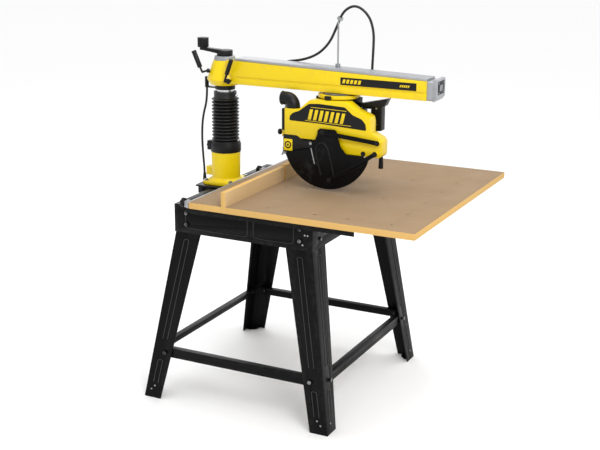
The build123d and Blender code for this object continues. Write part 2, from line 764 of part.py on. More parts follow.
teeth = 32
gullet = 7.0
with BuildPart() as blade:
    with BuildSketch(Plane.YZ.offset(blade_left)):
        with BuildLine():
            rim = []
            for tooth in range(teeth):
                tip = math.radians(tooth * 360 / teeth)
                root = math.radians((tooth + 0.35) * 360 / teeth)
                rim.append((-carriage + blade_radius * math.cos(tip),
                            arbor_height + blade_radius * math.sin(tip)))
                low = blade_radius - gullet
                rim.append((-carriage + low * math.cos(tip), arbor_height + low * math.sin(tip)))
                rim.append((-carriage + low * math.cos(root), arbor_height + low * math.sin(root)))
            Polyline(*rim, close=True)
        make_face()
        with Locations((-carriage, arbor_height)):
            Circle(arbor_radius, mode=Mode.SUBTRACT)
    extrude(amount=blade_thick)
save(blade, "blade")

# ---------------------------------------------------------------- upper guard
guard_rear = -303.0
guard_outline = [(guard_rear, 981), (guard_rear, 1085), (-360, 1085), (-401, 1121), (-445, 1123.5),
                 (-546, 1123.5), (-584, 1098), (-620, 1086), (-634, 1078), (-638, 1064), (-638, 1025),
                 (-674, 1009), (-684, 997), (-684, 950), (-676, 940), (-560, 941), (-470, 941),
                 (-430, 981)]
link_a_fixed = (-673.0, 995.0)
link_b_fixed = (-665.0, 955.0)
pivot_radius = 4.0
bracket_back = -282.0
rod_y = -292.0
guard_hub_radius = 42.0
guard_hub_bore = 28.0
with BuildPart() as upper_guard:
    side_plate(guard_outline, guard_outer, guard_inner)
    with BuildSketch(Plane.YZ.offset(guard_outer + guard_wall)):
        Polygon(*guard_outline, align=None)
        offset(amount=-guard_wall, kind=Kind.INTERSECTION)
    extrude(amount=guard_inner - guard_outer - 2 * guard_wall, mode=Mode.SUBTRACT)
    block((guard_outer + guard_wall, -674, 930), (guard_inner - guard_wall, -440, 950),
          mode=Mode.SUBTRACT)
    block((guard_outer + guard_wall, -440, 970),
          (guard_inner - guard_wall, guard_rear - guard_wall, 984), mode=Mode.SUBTRACT)
    side_plate([(-480, 930), (-480, 946), (-432, 992), (-415, 975)], guard_outer + guard_wall,
               guard_inner - guard_wall,
               Mode.SUBTRACT)
    rod((guard_inner - guard_wall - 1, -carriage, arbor_height),
        (guard_inner + 1, -carriage, arbor_height), guard_hub_bore, Mode.SUBTRACT)
    side_plate([(-carriage - guard_hub_bore, arbor_height), (-carriage + guard_hub_bore, arbor_height),
                (-carriage + guard_hub_bore, 930), (-carriage - guard_hub_bore, 930)],
               guard_inner - guard_wall - 1, guard_inner + 1, Mode.SUBTRACT)
    for y, z in (link_a_fixed, link_b_fixed):
        rod((link_face - 3, y, z), (guard_outer + 1, y, z), pivot_radius)
        rod((link_face + link_thick + 0.5, y, z), (guard_outer + 1, y, z), 8)
    block((blade_plane - 12, guard_rear - 1, 976), (blade_plane + 12, bracket_back, 1004))
    rod((blade_plane, rod_y, 970), (blade_plane, rod_y, 1010), 5.3, Mode.SUBTRACT)
    rod((motor_left, -carriage, arbor_height), (guard_inner - 0.5, -carriage, arbor_height),
        guard_hub_radius)
    rod((motor_left + 1, -carriage, arbor_height),
        (guard_inner - guard_wall - 2, -carriage, arbor_height), guard_hub_bore, Mode.SUBTRACT)
save(upper_guard, "upper_guard")

elbow_radius = 24.0
elbow_x = -72.0
elbow_y = -326.0
elbow_mouth = -280.0
elbow_bend = 27.0
elbow_turn = 1117.0
with BuildPart() as dust_elbow:
    with BuildLine():
        Line((elbow_x, elbow_y, 1085), (elbow_x, elbow_y, elbow_turn - elbow_bend))
        TangentArc((elbow_x, elbow_y, elbow_turn - elbow_bend), (elbow_x, elbow_y + elbow_bend, elbow_turn),
                   tangent=(0, 0, 1))
        Line((elbow_x, elbow_y + elbow_bend, elbow_turn), (elbow_x, elbow_mouth, elbow_turn))
    with BuildSketch(Plane(origin=(elbow_x, elbow_y, 1085))):
        Circle(elbow_radius)
        Circle(elbow_radius - 2.5, mode=Mode.SUBTRACT)
    sweep()
save(dust_elbow, "dust_elbow")

with BuildPart() as kickback_rod:
    rod((blade_plane, rod_y, 934), (blade_plane, rod_y, 1092), 5)
    block((blade_plane - 14, rod_y - 7, 926), (blade_plane + 14, rod_y + 7, 938))
    for x in (-10, 10):
        side_plate([(rod_y - 6, 932), (rod_y + 4, 932), (rod_y + 14, 906), (rod_y + 8, 906)],
                   blade_plane + x - 2, blade_plane + x + 2)
save(kickback_rod, "kickback_rod")

# ---------------------------------------------------------------- lower guard and its two links
link_a_free = (-463.0, 1013.0)
link_b_free = (-490.0, 842.0)
open_pivot_gap = 3.0         # the lower link's pin floats this much in the dish
dish_tab = [(-609, 941), (-554, 941), (-531, 966), (-521, 995), (-514, 1021), (-506, 1026), (-450, 1026),
            (-441, 1020),
            (-439, 1003), (-431, 985), (-420, 965), (-414, 950)]


def on_rim(angle, radius):
    turn = math.radians(angle)
    return -carriage + radius * math.cos(turn), arbor_height + radius * math.sin(turn)


rear_angle = -18.4
front_angle = -165.0
with BuildPart() as lower_guard:
    with BuildSketch(Plane.YZ.offset(dish_face)):
        with BuildLine():
            Polyline(on_rim(front_angle, dish_radius), *dish_tab, on_rim(rear_angle, dish_radius))
            ThreePointArc(on_rim(rear_angle, dish_radius), on_rim(-90, dish_radius),
                          on_rim(front_angle, dish_radius))
        make_face()
    extrude(amount=3)
    with BuildSketch(Plane.YZ.offset(dish_face)):
        with BuildLine():
            ThreePointArc(on_rim(rear_angle, dish_radius), on_rim(-90, dish_radius),
                          on_rim(front_angle, dish_radius))
            Line(on_rim(front_angle, dish_radius), on_rim(front_angle, dish_radius - 3))
            ThreePointArc(on_rim(front_angle, dish_radius - 3), on_rim(-90, dish_radius - 3),
                          on_rim(rear_angle, dish_radius - 3))
            Line(on_rim(rear_angle, dish_radius - 3), on_rim(rear_angle, dish_radius))
        make_face()
    extrude(amount=dish_rim - dish_face)
    rod((dish_face, *link_b_free), (dish_face + 4, *link_b_free), pivot_radius + open_pivot_gap,
        Mode.SUBTRACT)
    rod((link_face - 3, *link_a_free), (dish_face + 1, *link_a_free), pivot_radius)
save(lower_guard, "lower_guard")


def make_link(fixed, free, width):
    """A flat bar with an eye at each end, in the plane of the two links."""
    run = Vector(free[0] - fixed[0], free[1] - fixed[1])
    turn = math.degrees(math.atan2(run.Y, run.X))
    with BuildSketch(Plane.YZ.offset(link_face)) as bar:
        with Locations(Location(((fixed[0] + free[0]) / 2, (fixed[1] + free[1]) / 2), turn)):
            SlotCenterToCenter(run.length, width)
    extrude(bar.sketch, amount=link_thick)
    rod((link_face - 1, *fixed), (link_face + link_thick + 1, *fixed), pivot_radius + 0.05, Mode.SUBTRACT)


with BuildPart() as guard_link_upper:
    make_link(link_a_fixed, link_a_free, 15)
    rod((link_face - 1, *link_a_free), (link_face + link_thick + 1, *link_a_free), pivot_radius + 0.05,
        Mode.SUBTRACT)
save(guard_link_upper, "guard_link_upper")

with BuildPart() as guard_link_lower:
    make_link(link_b_fixed, link_b_free, 15)
    rod((link_face + link_thick, *link_b_free), (dish_face + 2.5, *link_b_free), pivot_radius)
save(guard_link_lower, "guard_link_lower")

# ---------------------------------------------------------------- cable mast and cables
cable_route = [(post_x, post_y, post_top), (post_x, post_y, 1225), (59, -578, 1295), (55, -580, 1362),
               (46, -563, 1418), (35, -518, 1453), (24, -474, 1430), (20, -452, 1374), (26, -422, 1314),
               (37, -372, 1268), (48, -306, 1241), (52, -232, 1230), (51, -162, cable_end_z),
               (51, cable_end_y, cable_end_z)]
supply_y = 97.0
supply_bottom = 752.0
supply_route = [(0, supply_y, supply_bottom), (0, supply_y, 796), (0, 103, 860), (0, 106, 935),
                (0, 100, 1005),
                (0, gland_y, 1068), (0, gland_y, neck_low)]

ring_low, ring_high = Vector(*cable_route[7]), Vector(*cable_route[6])
ring_middle = (ring_low + ring_high) / 2
ring_hole = 6.0
ring_outer = 11.0
mast_x = 10.0
mast_y = -462.0
mast_base = arm_top(-mast_y - 9) + cover_thick
with BuildPart() as cable_mast:
    rod((mast_x, mast_y, mast_base), (mast_x, mast_y, mast_base + 12), 9)
    rod((mast_x, mast_y, mast_base + 11), (mast_x, mast_y, ring_middle.Z), 3)
    with BuildSketch(Plane(origin=ring_middle, z_dir=ring_high - ring_low)):
        Circle(ring_outer)
    extrude(amount=5, both=True)
    with BuildSketch(Plane(origin=ring_middle, z_dir=ring_high - ring_low)):
        Circle(ring_hole)
    extrude(amount=12, both=True, mode=Mode.SUBTRACT)
save(cable_mast, "cable_mast")


def tube(route, radius, name):
    """A round tube on straight runs joined by the largest tangent arcs that fit."""
    points = [Vector(*p) for p in route]
    radii = []
    for before, here, after in zip(points, points[1:], points[2:]):
        run_in, run_out = here - before, after - here
        turn = math.radians(run_in.get_angle(run_out))
        radii.append(0.45 * min(run_in.length, run_out.length) / math.tan(turn / 2))
    with BuildPart() as cable:
        with BuildLine() as path:
            FilletPolyline(*points, radius=radii)
        with BuildSketch(Plane(origin=points[0], z_dir=points[1] - points[0])):
            Circle(radius)
        sweep()
    length = path.wire().length
    section = math.pi * radius ** 2
    print(name, "length", round(length, 1), "tightest", round(min(radii), 1),
          "volume over section times length", round(cable.part.volume / section / length, 4))
    save(cable, name)


tube(cable_route, cable_radius, "motor_cable")
tube(supply_route, supply_radius, "supply_cable")

with BuildPart() as supply_box:
    block((-26, plate_rear, 704), (26, plate_rear + 36, 741))
    fillet(supply_box.edges().filter_by(Axis.Z), radius=5)
    rod((0, supply_y, 740), (0, supply_y, supply_bottom), 8)
save(supply_box, "supply_box")
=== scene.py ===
# %% [markdown]
# # Radial arm saw
# The saw's frame, arm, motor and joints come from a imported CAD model. This lesson gives them their
# looks: rounded edges, pressed ribs, bolts, labels, bellows, cables and the finish of each material.
# Sizes below are in millimetres from the column's axis, the floor and the middle of the arm.

# %% Load the model
import json
import math

import bmesh
import bpy
from mathutils import Matrix, Vector


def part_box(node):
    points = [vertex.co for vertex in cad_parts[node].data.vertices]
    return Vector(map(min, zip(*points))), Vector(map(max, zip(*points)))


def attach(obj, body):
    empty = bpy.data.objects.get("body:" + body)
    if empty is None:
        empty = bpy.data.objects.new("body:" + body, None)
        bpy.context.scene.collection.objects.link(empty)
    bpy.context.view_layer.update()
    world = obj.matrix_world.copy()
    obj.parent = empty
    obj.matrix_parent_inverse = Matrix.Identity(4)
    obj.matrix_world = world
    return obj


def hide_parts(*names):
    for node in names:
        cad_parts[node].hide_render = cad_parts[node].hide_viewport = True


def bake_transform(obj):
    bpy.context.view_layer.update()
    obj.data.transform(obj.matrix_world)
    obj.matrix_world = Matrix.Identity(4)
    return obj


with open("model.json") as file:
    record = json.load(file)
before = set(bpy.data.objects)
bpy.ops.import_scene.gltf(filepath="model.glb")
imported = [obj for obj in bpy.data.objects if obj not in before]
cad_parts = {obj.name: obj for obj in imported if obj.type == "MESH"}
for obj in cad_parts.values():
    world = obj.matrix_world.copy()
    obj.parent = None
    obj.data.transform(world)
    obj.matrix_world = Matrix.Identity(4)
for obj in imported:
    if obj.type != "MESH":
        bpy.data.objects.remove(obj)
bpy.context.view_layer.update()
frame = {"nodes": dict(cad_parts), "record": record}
record = frame["record"]
body_of_node = {node: body for body, nodes in record["behaviour"]["bodies"].items() for node in nodes}
slot_of_node = {part["node"]: part["material_slot"] for part in record["subparts"]}
tube_low, tube_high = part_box("column_tube")
column_y = (tube_low.y + tube_high.y) / 2
print("pieces of the frame:", len(frame["nodes"]), "column axis at", round(column_y, 4))


def here(x, y, z):
    """A place given in millimetres from the column's axis, as a point in metres."""
    return Vector((x / 1000, y / 1000 + column_y, z / 1000))


# %% [markdown]
# ## Camera
# A long lens looks down on the saw from the blade's side. It stands first, because everything else
# is judged through it.

# %% Camera
camera_place = here(-3844.5, -2235.2, 1863.6)
camera_yaw = math.radians(-63.5)
camera_pitch = math.radians(16.1)
camera_roll = math.radians(0.3)
camera_lens = 71.06

ahead = Vector((-math.sin(camera_yaw) * math.cos(camera_pitch), math.cos(camera_yaw) * math.cos(camera_pitch),
                -math.sin(camera_pitch)))
right = Vector((math.cos(camera_yaw), math.sin(camera_yaw), 0))
up = right.cross(ahead)
rolled_right = right * math.cos(camera_roll) + up * math.sin(camera_roll)
rolled_up = up * math.cos(camera_roll) - right * math.sin(camera_roll)
bpy.ops.object.camera_add(location=camera_place)
camera = bpy.context.object
camera.data.lens = camera_lens
camera.data.sensor_width = 36
camera.rotation_euler = Matrix((rolled_right, rolled_up, -ahead)).transposed().to_euler()
bpy.context.scene.camera = camera
print("camera at", [round(part, 3) for part in camera_place], "with a lens of", camera_lens, "mm")

# %% [markdown]
# ## Shared effects
# Paint, plastic, metal and board all vary a little over a surface. Each kind of variation is a shader
# node group, so that every material places the same effect with values of its own.


# %% Node group helper
def new_group(name, inputs, outputs):
    """An empty shader group with named sockets, as (group, node of inputs, node of outputs)."""
    group = bpy.data.node_groups.new(name, "ShaderNodeTree")
    for label, kind, value in inputs:
        socket = group.interface.new_socket(label, in_out="INPUT", socket_type=kind)
        socket.default_value = value
    for label, kind in outputs:
        group.interface.new_socket(label, in_out="OUTPUT", socket_type=kind)
    return group, group.nodes.new("NodeGroupInput"), group.nodes.new("NodeGroupOutput")


def add(tree, kind, **settings):
    """A node of a kind, with its attributes set."""
    node = tree.nodes.new("ShaderNode" + kind)
    for key, value in settings.items():
        setattr(node, key, value)
    return node


# %% [markdown]
# ## Grain
# Sprayed paint and moulded plastic have a fine skin, with a slow change of tone over a hand's width.
# Two noises, one fine and one coarse, give both. An image would repeat, and a noise doesn't.

# %% Grain group
grain, taken, given = new_group(
    "grain", [("Vector", "NodeSocketVector", (0, 0, 0)), ("Scale", "NodeSocketFloat", 900.0)],
    [("Height", "NodeSocketFloat"), ("Patches", "NodeSocketFloat")])
fine = add(grain, "TexNoise")
fine.inputs["Detail"].default_value = 3
coarse = add(grain, "TexNoise")
coarse.inputs["Scale"].default_value = 9
coarse.inputs["Detail"].default_value = 4
grain.links.new(taken.outputs["Vector"], fine.inputs["Vector"])
grain.links.new(taken.outputs["Scale"], fine.inputs["Scale"])
grain.links.new(taken.outputs["Vector"], coarse.inputs["Vector"])
grain.links.new(fine.outputs["Fac"], given.inputs["Height"])
grain.links.new(coarse.outputs["Fac"], given.inputs["Patches"])

# %% [markdown]
# ## Brushing
# Drawn and ground metal shows fine lines along the way it was worked. A noise whose space is squeezed
# along two axes and not along the third turns into such lines.

# %% Brushing group
brushing, taken, given = new_group(
    "brushing", [("Vector", "NodeSocketVector", (0, 0, 0)), ("Stretch", "NodeSocketVector", (900, 20, 900))],
    [("Lines", "NodeSocketFloat")])
drawn = add(brushing, "VectorMath", operation="MULTIPLY")
lines = add(brushing, "TexNoise")
lines.inputs["Scale"].default_value = 1
lines.inputs["Detail"].default_value = 2
brushing.links.new(taken.outputs["Vector"], drawn.inputs[0])
brushing.links.new(taken.outputs["Stretch"], drawn.inputs[1])
brushing.links.new(drawn.outputs[0], lines.inputs["Vector"])
brushing.links.new(lines.outputs["Fac"], given.inputs["Lines"])

# %% [markdown]
# ## Wear
# Edges are rubbed bare in patches, and dust settles on what faces up. Pointiness finds the edges and
# the normal's height finds the upper faces. A patchy noise breaks both up, as use does.

# %% Wear group
wear, taken, given = new_group(
    "wear", [("Vector", "NodeSocketVector", (0, 0, 0)), ("Spread", "NodeSocketFloat", 0.5)],
    [("Edges", "NodeSocketFloat"), ("Dust", "NodeSocketFloat")])
shape = add(wear, "NewGeometry")
edge_ramp = add(wear, "MapRange")
edge_ramp.inputs["From Min"].default_value = 0.53
edge_ramp.inputs["From Max"].default_value = 0.62
rubbed = add(wear, "TexNoise")
rubbed.inputs["Scale"].default_value = 60
rubbed.inputs["Detail"].default_value = 5
patchy = add(wear, "MapRange")
patchy.inputs["From Min"].default_value = 0.45
patchy.inputs["From Max"].default_value = 0.62
both = add(wear, "Math", operation="MULTIPLY")
spread = add(wear, "Math", operation="MULTIPLY")
facing = add(wear, "SeparateXYZ")
upward = add(wear, "MapRange")
upward.inputs["From Min"].default_value = 0.5
upward.inputs["From Max"].default_value = 1.0
settled = add(wear, "Math", operation="MULTIPLY")
wear.links.new(shape.outputs["Pointiness"], edge_ramp.inputs["Value"])
wear.links.new(taken.outputs["Vector"], rubbed.inputs["Vector"])
wear.links.new(rubbed.outputs["Fac"], patchy.inputs["Value"])
wear.links.new(edge_ramp.outputs[0], both.inputs[0])
wear.links.new(patchy.outputs[0], both.inputs[1])
wear.links.new(both.outputs[0], spread.inputs[0])
wear.links.new(taken.outputs["Spread"], spread.inputs[1])
wear.links.new(shape.outputs["Normal"], facing.inputs[0])
wear.links.new(facing.outputs["Z"], upward.inputs["Value"])
wear.links.new(upward.outputs[0], settled.inputs[0])
wear.links.new(patchy.outputs[0], settled.inputs[1])
wear.links.new(spread.outputs[0], given.inputs["Edges"])
wear.links.new(settled.outputs[0], given.inputs["Dust"])

# %% [markdown]
# ## Finishes
# One function lays the same chain for every finish: two tones mixed by patches, a wear colour on the
# edges, a little dust, a roughness that varies, and a bump. What differs between satin paint and
# moulded plastic is only the values.


# %% Finish function
def place_group(tree, group, **values):
    """A shared group placed in a material with values of its own."""
    node = tree.nodes.new("ShaderNodeGroup")
    node.node_tree = group
    for key, value in values.items():
        node.inputs[key].default_value = value
    return node


def mixed(tree, amount, first, second):
    """A colour mix whose factor and ends are sockets or plain colours."""
    node = add(tree, "Mix", data_type="RGBA")
    tree.links.new(amount, node.inputs[0])
    for socket, value in ((node.inputs[6], first), (node.inputs[7], second)):
        if isinstance(value, tuple):
            socket.default_value = (*value, 1)
        else:
            tree.links.new(value, socket)
    return node.outputs[2]


def spread_to(tree, value, low, high):
    """A 0 to 1 socket stretched between two values."""
    node = add(tree, "MapRange")
    node.inputs["From Min"].default_value = 0.3
    node.inputs["From Max"].default_value = 0.7
    node.inputs["To Min"].default_value = low
    node.inputs["To Max"].default_value = high
    tree.links.new(value, node.inputs["Value"])
    return node.outputs[0]


def finish_of(name, tone, shade, rough=(0.35, 0.5), metal=0.0, bump=0.1, size=900, worn=None, dust=0.0,
              coat=0.0, gloss=0.5, stretch=None):
    """A procedural finish. stretch draws its grain out along an axis, as brushing does."""
    material = bpy.data.materials.new(name)
    material.use_nodes = True
    tree = material.node_tree
    shader = tree.nodes["Principled BSDF"]
    shader.inputs["Metallic"].default_value = metal
    shader.inputs["Coat Weight"].default_value = coat
    shader.inputs["Coat Roughness"].default_value = 0.12
    shader.inputs["Specular IOR Level"].default_value = gloss
    place = add(tree, "TexCoord").outputs["Object"]
    texture = place_group(tree, grain, Scale=size)
    tree.links.new(place, texture.inputs["Vector"])
    height = texture.outputs["Height"]
    if stretch:
        brushed = place_group(tree, brushing, Stretch=stretch)
        tree.links.new(place, brushed.inputs["Vector"])
        height = brushed.outputs["Lines"]
    marks = place_group(tree, wear, Spread=0.8)
    tree.links.new(place, marks.inputs["Vector"])
    colour = mixed(tree, texture.outputs["Patches"], tone, shade)
    if worn:
        colour = mixed(tree, marks.outputs["Edges"], colour, worn)
    if dust:
        thin = add(tree, "Math", operation="MULTIPLY")
        tree.links.new(marks.outputs["Dust"], thin.inputs[0])
        thin.inputs[1].default_value = dust
        colour = mixed(tree, thin.outputs[0], colour, (0.42, 0.36, 0.28))
    tree.links.new(colour, shader.inputs["Base Color"])
    tree.links.new(spread_to(tree, height if stretch else texture.outputs["Patches"], *rough),
                   shader.inputs["Roughness"])
    relief = add(tree, "Bump")
    relief.inputs["Strength"].default_value = bump
    relief.inputs["Distance"].default_value = 0.0004
    tree.links.new(height, relief.inputs["Height"])
    tree.links.new(relief.outputs[0], shader.inputs["Normal"])
    return material


# %% [markdown]
# ## The saw's finishes
# Yellow enamel on the castings and the arm, black powder coat on the stand, black and grey mouldings,
# rubber, plated and bare metals. Each is one call of the finish function with its own tones.

# %% Paints, plastics, rubber and metals
finishes = {
    "yellow_paint": finish_of("yellow enamel", (0.74, 0.545, 0.0), (0.68, 0.49, 0.0), (0.26, 0.36),
                              bump=0.1, size=420, worn=(0.55, 0.40, 0.04), dust=0.06, coat=0.12, gloss=0.3),
    "black_paint": finish_of("black powder coat", (0.0016, 0.0016, 0.0018), (0.003, 0.003, 0.0034),
                             (0.30, 0.44), bump=0.22, size=1100, worn=(0.02, 0.02, 0.02), dust=0.004,
                             gloss=0.1),
    "black_plastic": finish_of("black moulded plastic", (0.0025, 0.0025, 0.0028), (0.0045, 0.0045, 0.005),
                               (0.34, 0.48), bump=0.3, size=1500, worn=(0.015, 0.015, 0.015),
                               dust=0.012, gloss=0.24),
    "grey_plastic": finish_of("grey moulded plastic", (0.27, 0.28, 0.30), (0.22, 0.23, 0.25), (0.34, 0.48),
                              bump=0.3, size=1400, worn=(0.5, 0.5, 0.5), dust=0.15),
    "black_rubber": finish_of("bellows rubber", (0.002, 0.002, 0.002), (0.0035, 0.0035, 0.0038), (0.34, 0.5),
                              bump=0.2, size=800, dust=0.015, gloss=0.4),
    "cable_jacket": finish_of("cable jacket", (0.004, 0.004, 0.004), (0.007, 0.007, 0.007), (0.36, 0.5),
                              bump=0.15, size=1200, gloss=0.4),
    "dark_steel": finish_of("bronzed steel", (0.035, 0.014, 0.007), (0.02, 0.008, 0.004), (0.35, 0.5),
                            bump=0.1, size=700, gloss=0.25),
    "zinc_steel": finish_of("zinc plate", (0.40, 0.41, 0.42), (0.28, 0.29, 0.30), (0.25, 0.42), metal=1.0,
                            bump=0.1, size=700),
    "black_steel": finish_of("blackened steel", (0.035, 0.035, 0.038), (0.02, 0.02, 0.022), (0.3, 0.46),
                             metal=0.8, bump=0.15, size=900, worn=(0.3, 0.3, 0.3)),
    "bright_steel": finish_of("ground steel", (0.68, 0.68, 0.69), (0.6, 0.6, 0.61), (0.14, 0.3), metal=1.0,
                              bump=0.05, stretch=(500, 500, 4000)),
    "blade_steel": finish_of("blade steel", (0.66, 0.66, 0.67), (0.55, 0.55, 0.56), (0.18, 0.34), metal=1.0,
                             bump=0.05, stretch=(500, 3000, 400)),
    "cast_aluminium": finish_of("drawn aluminium", (0.42, 0.43, 0.45), (0.32, 0.33, 0.35), (0.42, 0.56),
                                metal=0.85, bump=0.08, stretch=(2600, 30, 2600), dust=0.1),
    "cast_grey": finish_of("painted casting", (0.07, 0.07, 0.075), (0.1, 0.1, 0.105), (0.4, 0.6), bump=0.5,
                           size=500, worn=(0.3, 0.3, 0.3), dust=0.2),
}
print("finishes:", len(finishes))


# %% [markdown]
# ## Fibreboard
# The table is made of pressed wood fibre. Its faces are tan and speckled, and the sawn edges show a
# honey colour, so the colour changes with the way that a surface faces.

# %% Fibreboard function
def board_finish(name, axis, face):
    """Fibreboard whose broad faces look along one axis, X, Y or Z."""
    shade = tuple(part * 0.81 for part in face)
    material = finish_of(name, face, shade, (0.6, 0.75), bump=0.3, size=650, gloss=0.15)
    tree = material.node_tree
    shader = tree.nodes["Principled BSDF"]
    broad = shader.inputs["Base Color"].links[0].from_socket
    place = add(tree, "TexCoord").outputs["Object"]
    flecks = place_group(tree, grain, Scale=240)
    tree.links.new(place, flecks.inputs["Vector"])
    fleck_mask = spread_to(tree, flecks.outputs["Height"], 0.0, 0.55)
    speckled = mixed(tree, fleck_mask, broad, tuple(part * 0.66 for part in face))
    strands = place_group(tree, brushing, Stretch=(160, 160, 900))
    tree.links.new(place, strands.inputs["Vector"])
    sawn = mixed(tree, strands.outputs["Lines"], (0.64, 0.40, 0.135), (0.50, 0.30, 0.095))
    facing = add(tree, "SeparateXYZ")
    tree.links.new(add(tree, "NewGeometry").outputs["Normal"], facing.inputs[0])
    size = add(tree, "Math", operation="ABSOLUTE")
    tree.links.new(facing.outputs[axis], size.inputs[0])
    is_broad = add(tree, "MapRange")
    is_broad.inputs["From Min"].default_value = 0.6
    is_broad.inputs["From Max"].default_value = 0.8
    tree.links.new(size.outputs[0], is_broad.inputs["Value"])
    tree.links.new(mixed(tree, is_broad.outputs[0], sawn, speckled), shader.inputs["Base Color"])
    return material


finishes["particle_board"] = board_finish("fibreboard table", "Z", (0.31, 0.212, 0.124))
# The fences are the same fibreboard as the table, but their copy has a face tone about twice as light:
# painted light on the fences' broad faces.
fence_board_painted_light = board_finish("fibreboard fence with painted light", "Y", (0.60, 0.41, 0.21))


# %% [markdown]
# ## Working on a piece
# These few helpers do what a maker does by hand: pick one object, work in edit mode, round its edges
# with a Bevel modifier and fix its place in its mesh.

# %% Helpers for pieces
def pick(piece):
    """Selects one object only, because an operator acts on all that is selected."""
    bpy.ops.object.select_all(action="DESELECT")
    piece.select_set(True)
    bpy.context.view_layer.objects.active = piece


def round_edges(piece, width, segments=2, angle=32):
    """Rounds the edges that are sharper than an angle."""
    pick(piece)
    bevel = piece.modifiers.new("rounding", "BEVEL")
    bevel.width = width
    bevel.segments = segments
    bevel.limit_method = "ANGLE"
    bevel.angle_limit = math.radians(angle)
    bpy.ops.object.modifier_apply(modifier=bevel.name)


def complete(piece, name, body, slot, material=None, smooth=35):
    """Applies a piece's place, smooths it, paints it and lets it ride on its body."""
    pick(piece)
    bpy.ops.object.transform_apply(location=True, rotation=True, scale=True)
    bpy.ops.object.mode_set(mode="EDIT")
    bpy.ops.mesh.select_all(action="SELECT")
    bpy.ops.mesh.normals_make_consistent(inside=False)
    bpy.ops.object.mode_set(mode="OBJECT")
    bpy.ops.object.shade_smooth_by_angle(angle=math.radians(smooth))
    piece.name = name
    piece.data.materials.clear()
    piece.data.materials.append(material or finishes[slot])
    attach(piece, body)
    print(name, "rides on", body, "with", len(piece.data.polygons), "faces")
    return piece


def together(parts):
    """Joins several objects into the first one."""
    pick(parts[0])
    for part in parts:
        part.select_set(True)
    bpy.ops.object.join()
    return bpy.context.object


def bar(low, high, rounding=0.6, segments=2):
    """A rounded block between two corners in millimetres."""
    first, last = here(*low), here(*high)
    bpy.ops.mesh.primitive_cube_add(size=1, location=(first + last) / 2)
    piece = bpy.context.object
    piece.scale = [abs(b - a) for a, b in zip(first, last)]
    bpy.ops.object.transform_apply(location=True, rotation=True, scale=True)
    round_edges(piece, rounding / 1000, segments)
    return piece


def turned(centre, way, radius, height, rounding=0.6, sides=40, dish=0.0):
    """A turned disc or bolt head whose base is at a place, with a hollow in its face if dish is set."""
    way = Vector(way).normalized()
    base = here(*centre)
    bpy.ops.mesh.primitive_cylinder_add(vertices=sides, radius=radius / 1000, depth=height / 1000,
                                        location=base + way * height / 2000,
                                        rotation=way.to_track_quat("Z", "Y").to_euler())
    piece = bpy.context.object
    bpy.ops.object.transform_apply(location=True, rotation=True, scale=True)
    if dish:
        bpy.ops.object.mode_set(mode="EDIT")
        bpy.ops.mesh.select_mode(type="FACE")
        bpy.ops.mesh.select_all(action="DESELECT")
        mesh = bmesh.from_edit_mesh(piece.data)
        for face in mesh.faces:
            face.select_set(face.normal.dot(way) > 0.9)
        bmesh.update_edit_mesh(piece.data)
        bpy.ops.mesh.inset(thickness=radius * 0.45 / 1000)
        bpy.ops.transform.translate(value=-way * dish / 1000)
        bpy.ops.object.mode_set(mode="OBJECT")
    round_edges(piece, rounding / 1000)
    return piece


def outline_plate(points, x, thick, corner=3.0, rounding=0.3):
    """A plate on a face that looks along -X, from an outline of (y, z) points, with round corners."""
    bpy.ops.mesh.primitive_circle_add(vertices=len(points), radius=0.01, fill_type="NGON")
    piece = bpy.context.object
    for vertex, (y, z) in zip(piece.data.vertices, points):
        vertex.co = here(x, y, z)
    bpy.ops.object.mode_set(mode="EDIT")
    bpy.ops.mesh.select_all(action="SELECT")
    if corner:
        bpy.ops.mesh.bevel(offset=corner / 1000, segments=4, affect="VERTICES")
        bpy.ops.mesh.select_all(action="SELECT")
    bpy.ops.mesh.extrude_region_move(TRANSFORM_OT_translate={"value": (-thick / 1000, 0, 0)})
    bpy.ops.mesh.select_all(action="SELECT")
    bpy.ops.mesh.normals_make_consistent(inside=False)
    bpy.ops.object.mode_set(mode="OBJECT")
    round_edges(piece, rounding / 1000, 2, 50)
    return piece


def tube_along(points, radius, name, closed=False):
    """A round bar on a smooth line through places in millimetres, as a mesh."""
    curve = bpy.data.curves.new(name, "CURVE")
    curve.dimensions = "3D"
    spline = curve.splines.new("NURBS")
    spline.points.add(len(points) - 1)
    for knot, point in zip(spline.points, points):
        knot.co = (*here(*point), 1)
    spline.order_u = 3
    spline.use_endpoint_u = not closed
    spline.use_cyclic_u = closed
    curve.resolution_u = 10
    piece = bpy.data.objects.new(name, curve)
    bpy.context.collection.objects.link(piece)
    bpy.context.view_layer.update()
    line = bpy.data.meshes.new_from_object(piece.evaluated_get(bpy.context.evaluated_depsgraph_get()))
    path = [vertex.co.copy() for vertex in line.vertices]
    curve.bevel_depth = radius / 1000
    curve.bevel_resolution = 5
    curve.use_fill_caps = True
    pick(piece)
    bpy.ops.object.convert(target="MESH")
    return bpy.context.object, path


# %% [markdown]
# ## Rounded edges on the CAD pieces
# A real casting, pressing or board has no knife edge, and the light on its rounded edges is what makes
# it read as a solid thing. A copy of each CAD node is merged, its flat faces are joined, and a Bevel
# modifier rounds what is left. The copy then stands for the node.

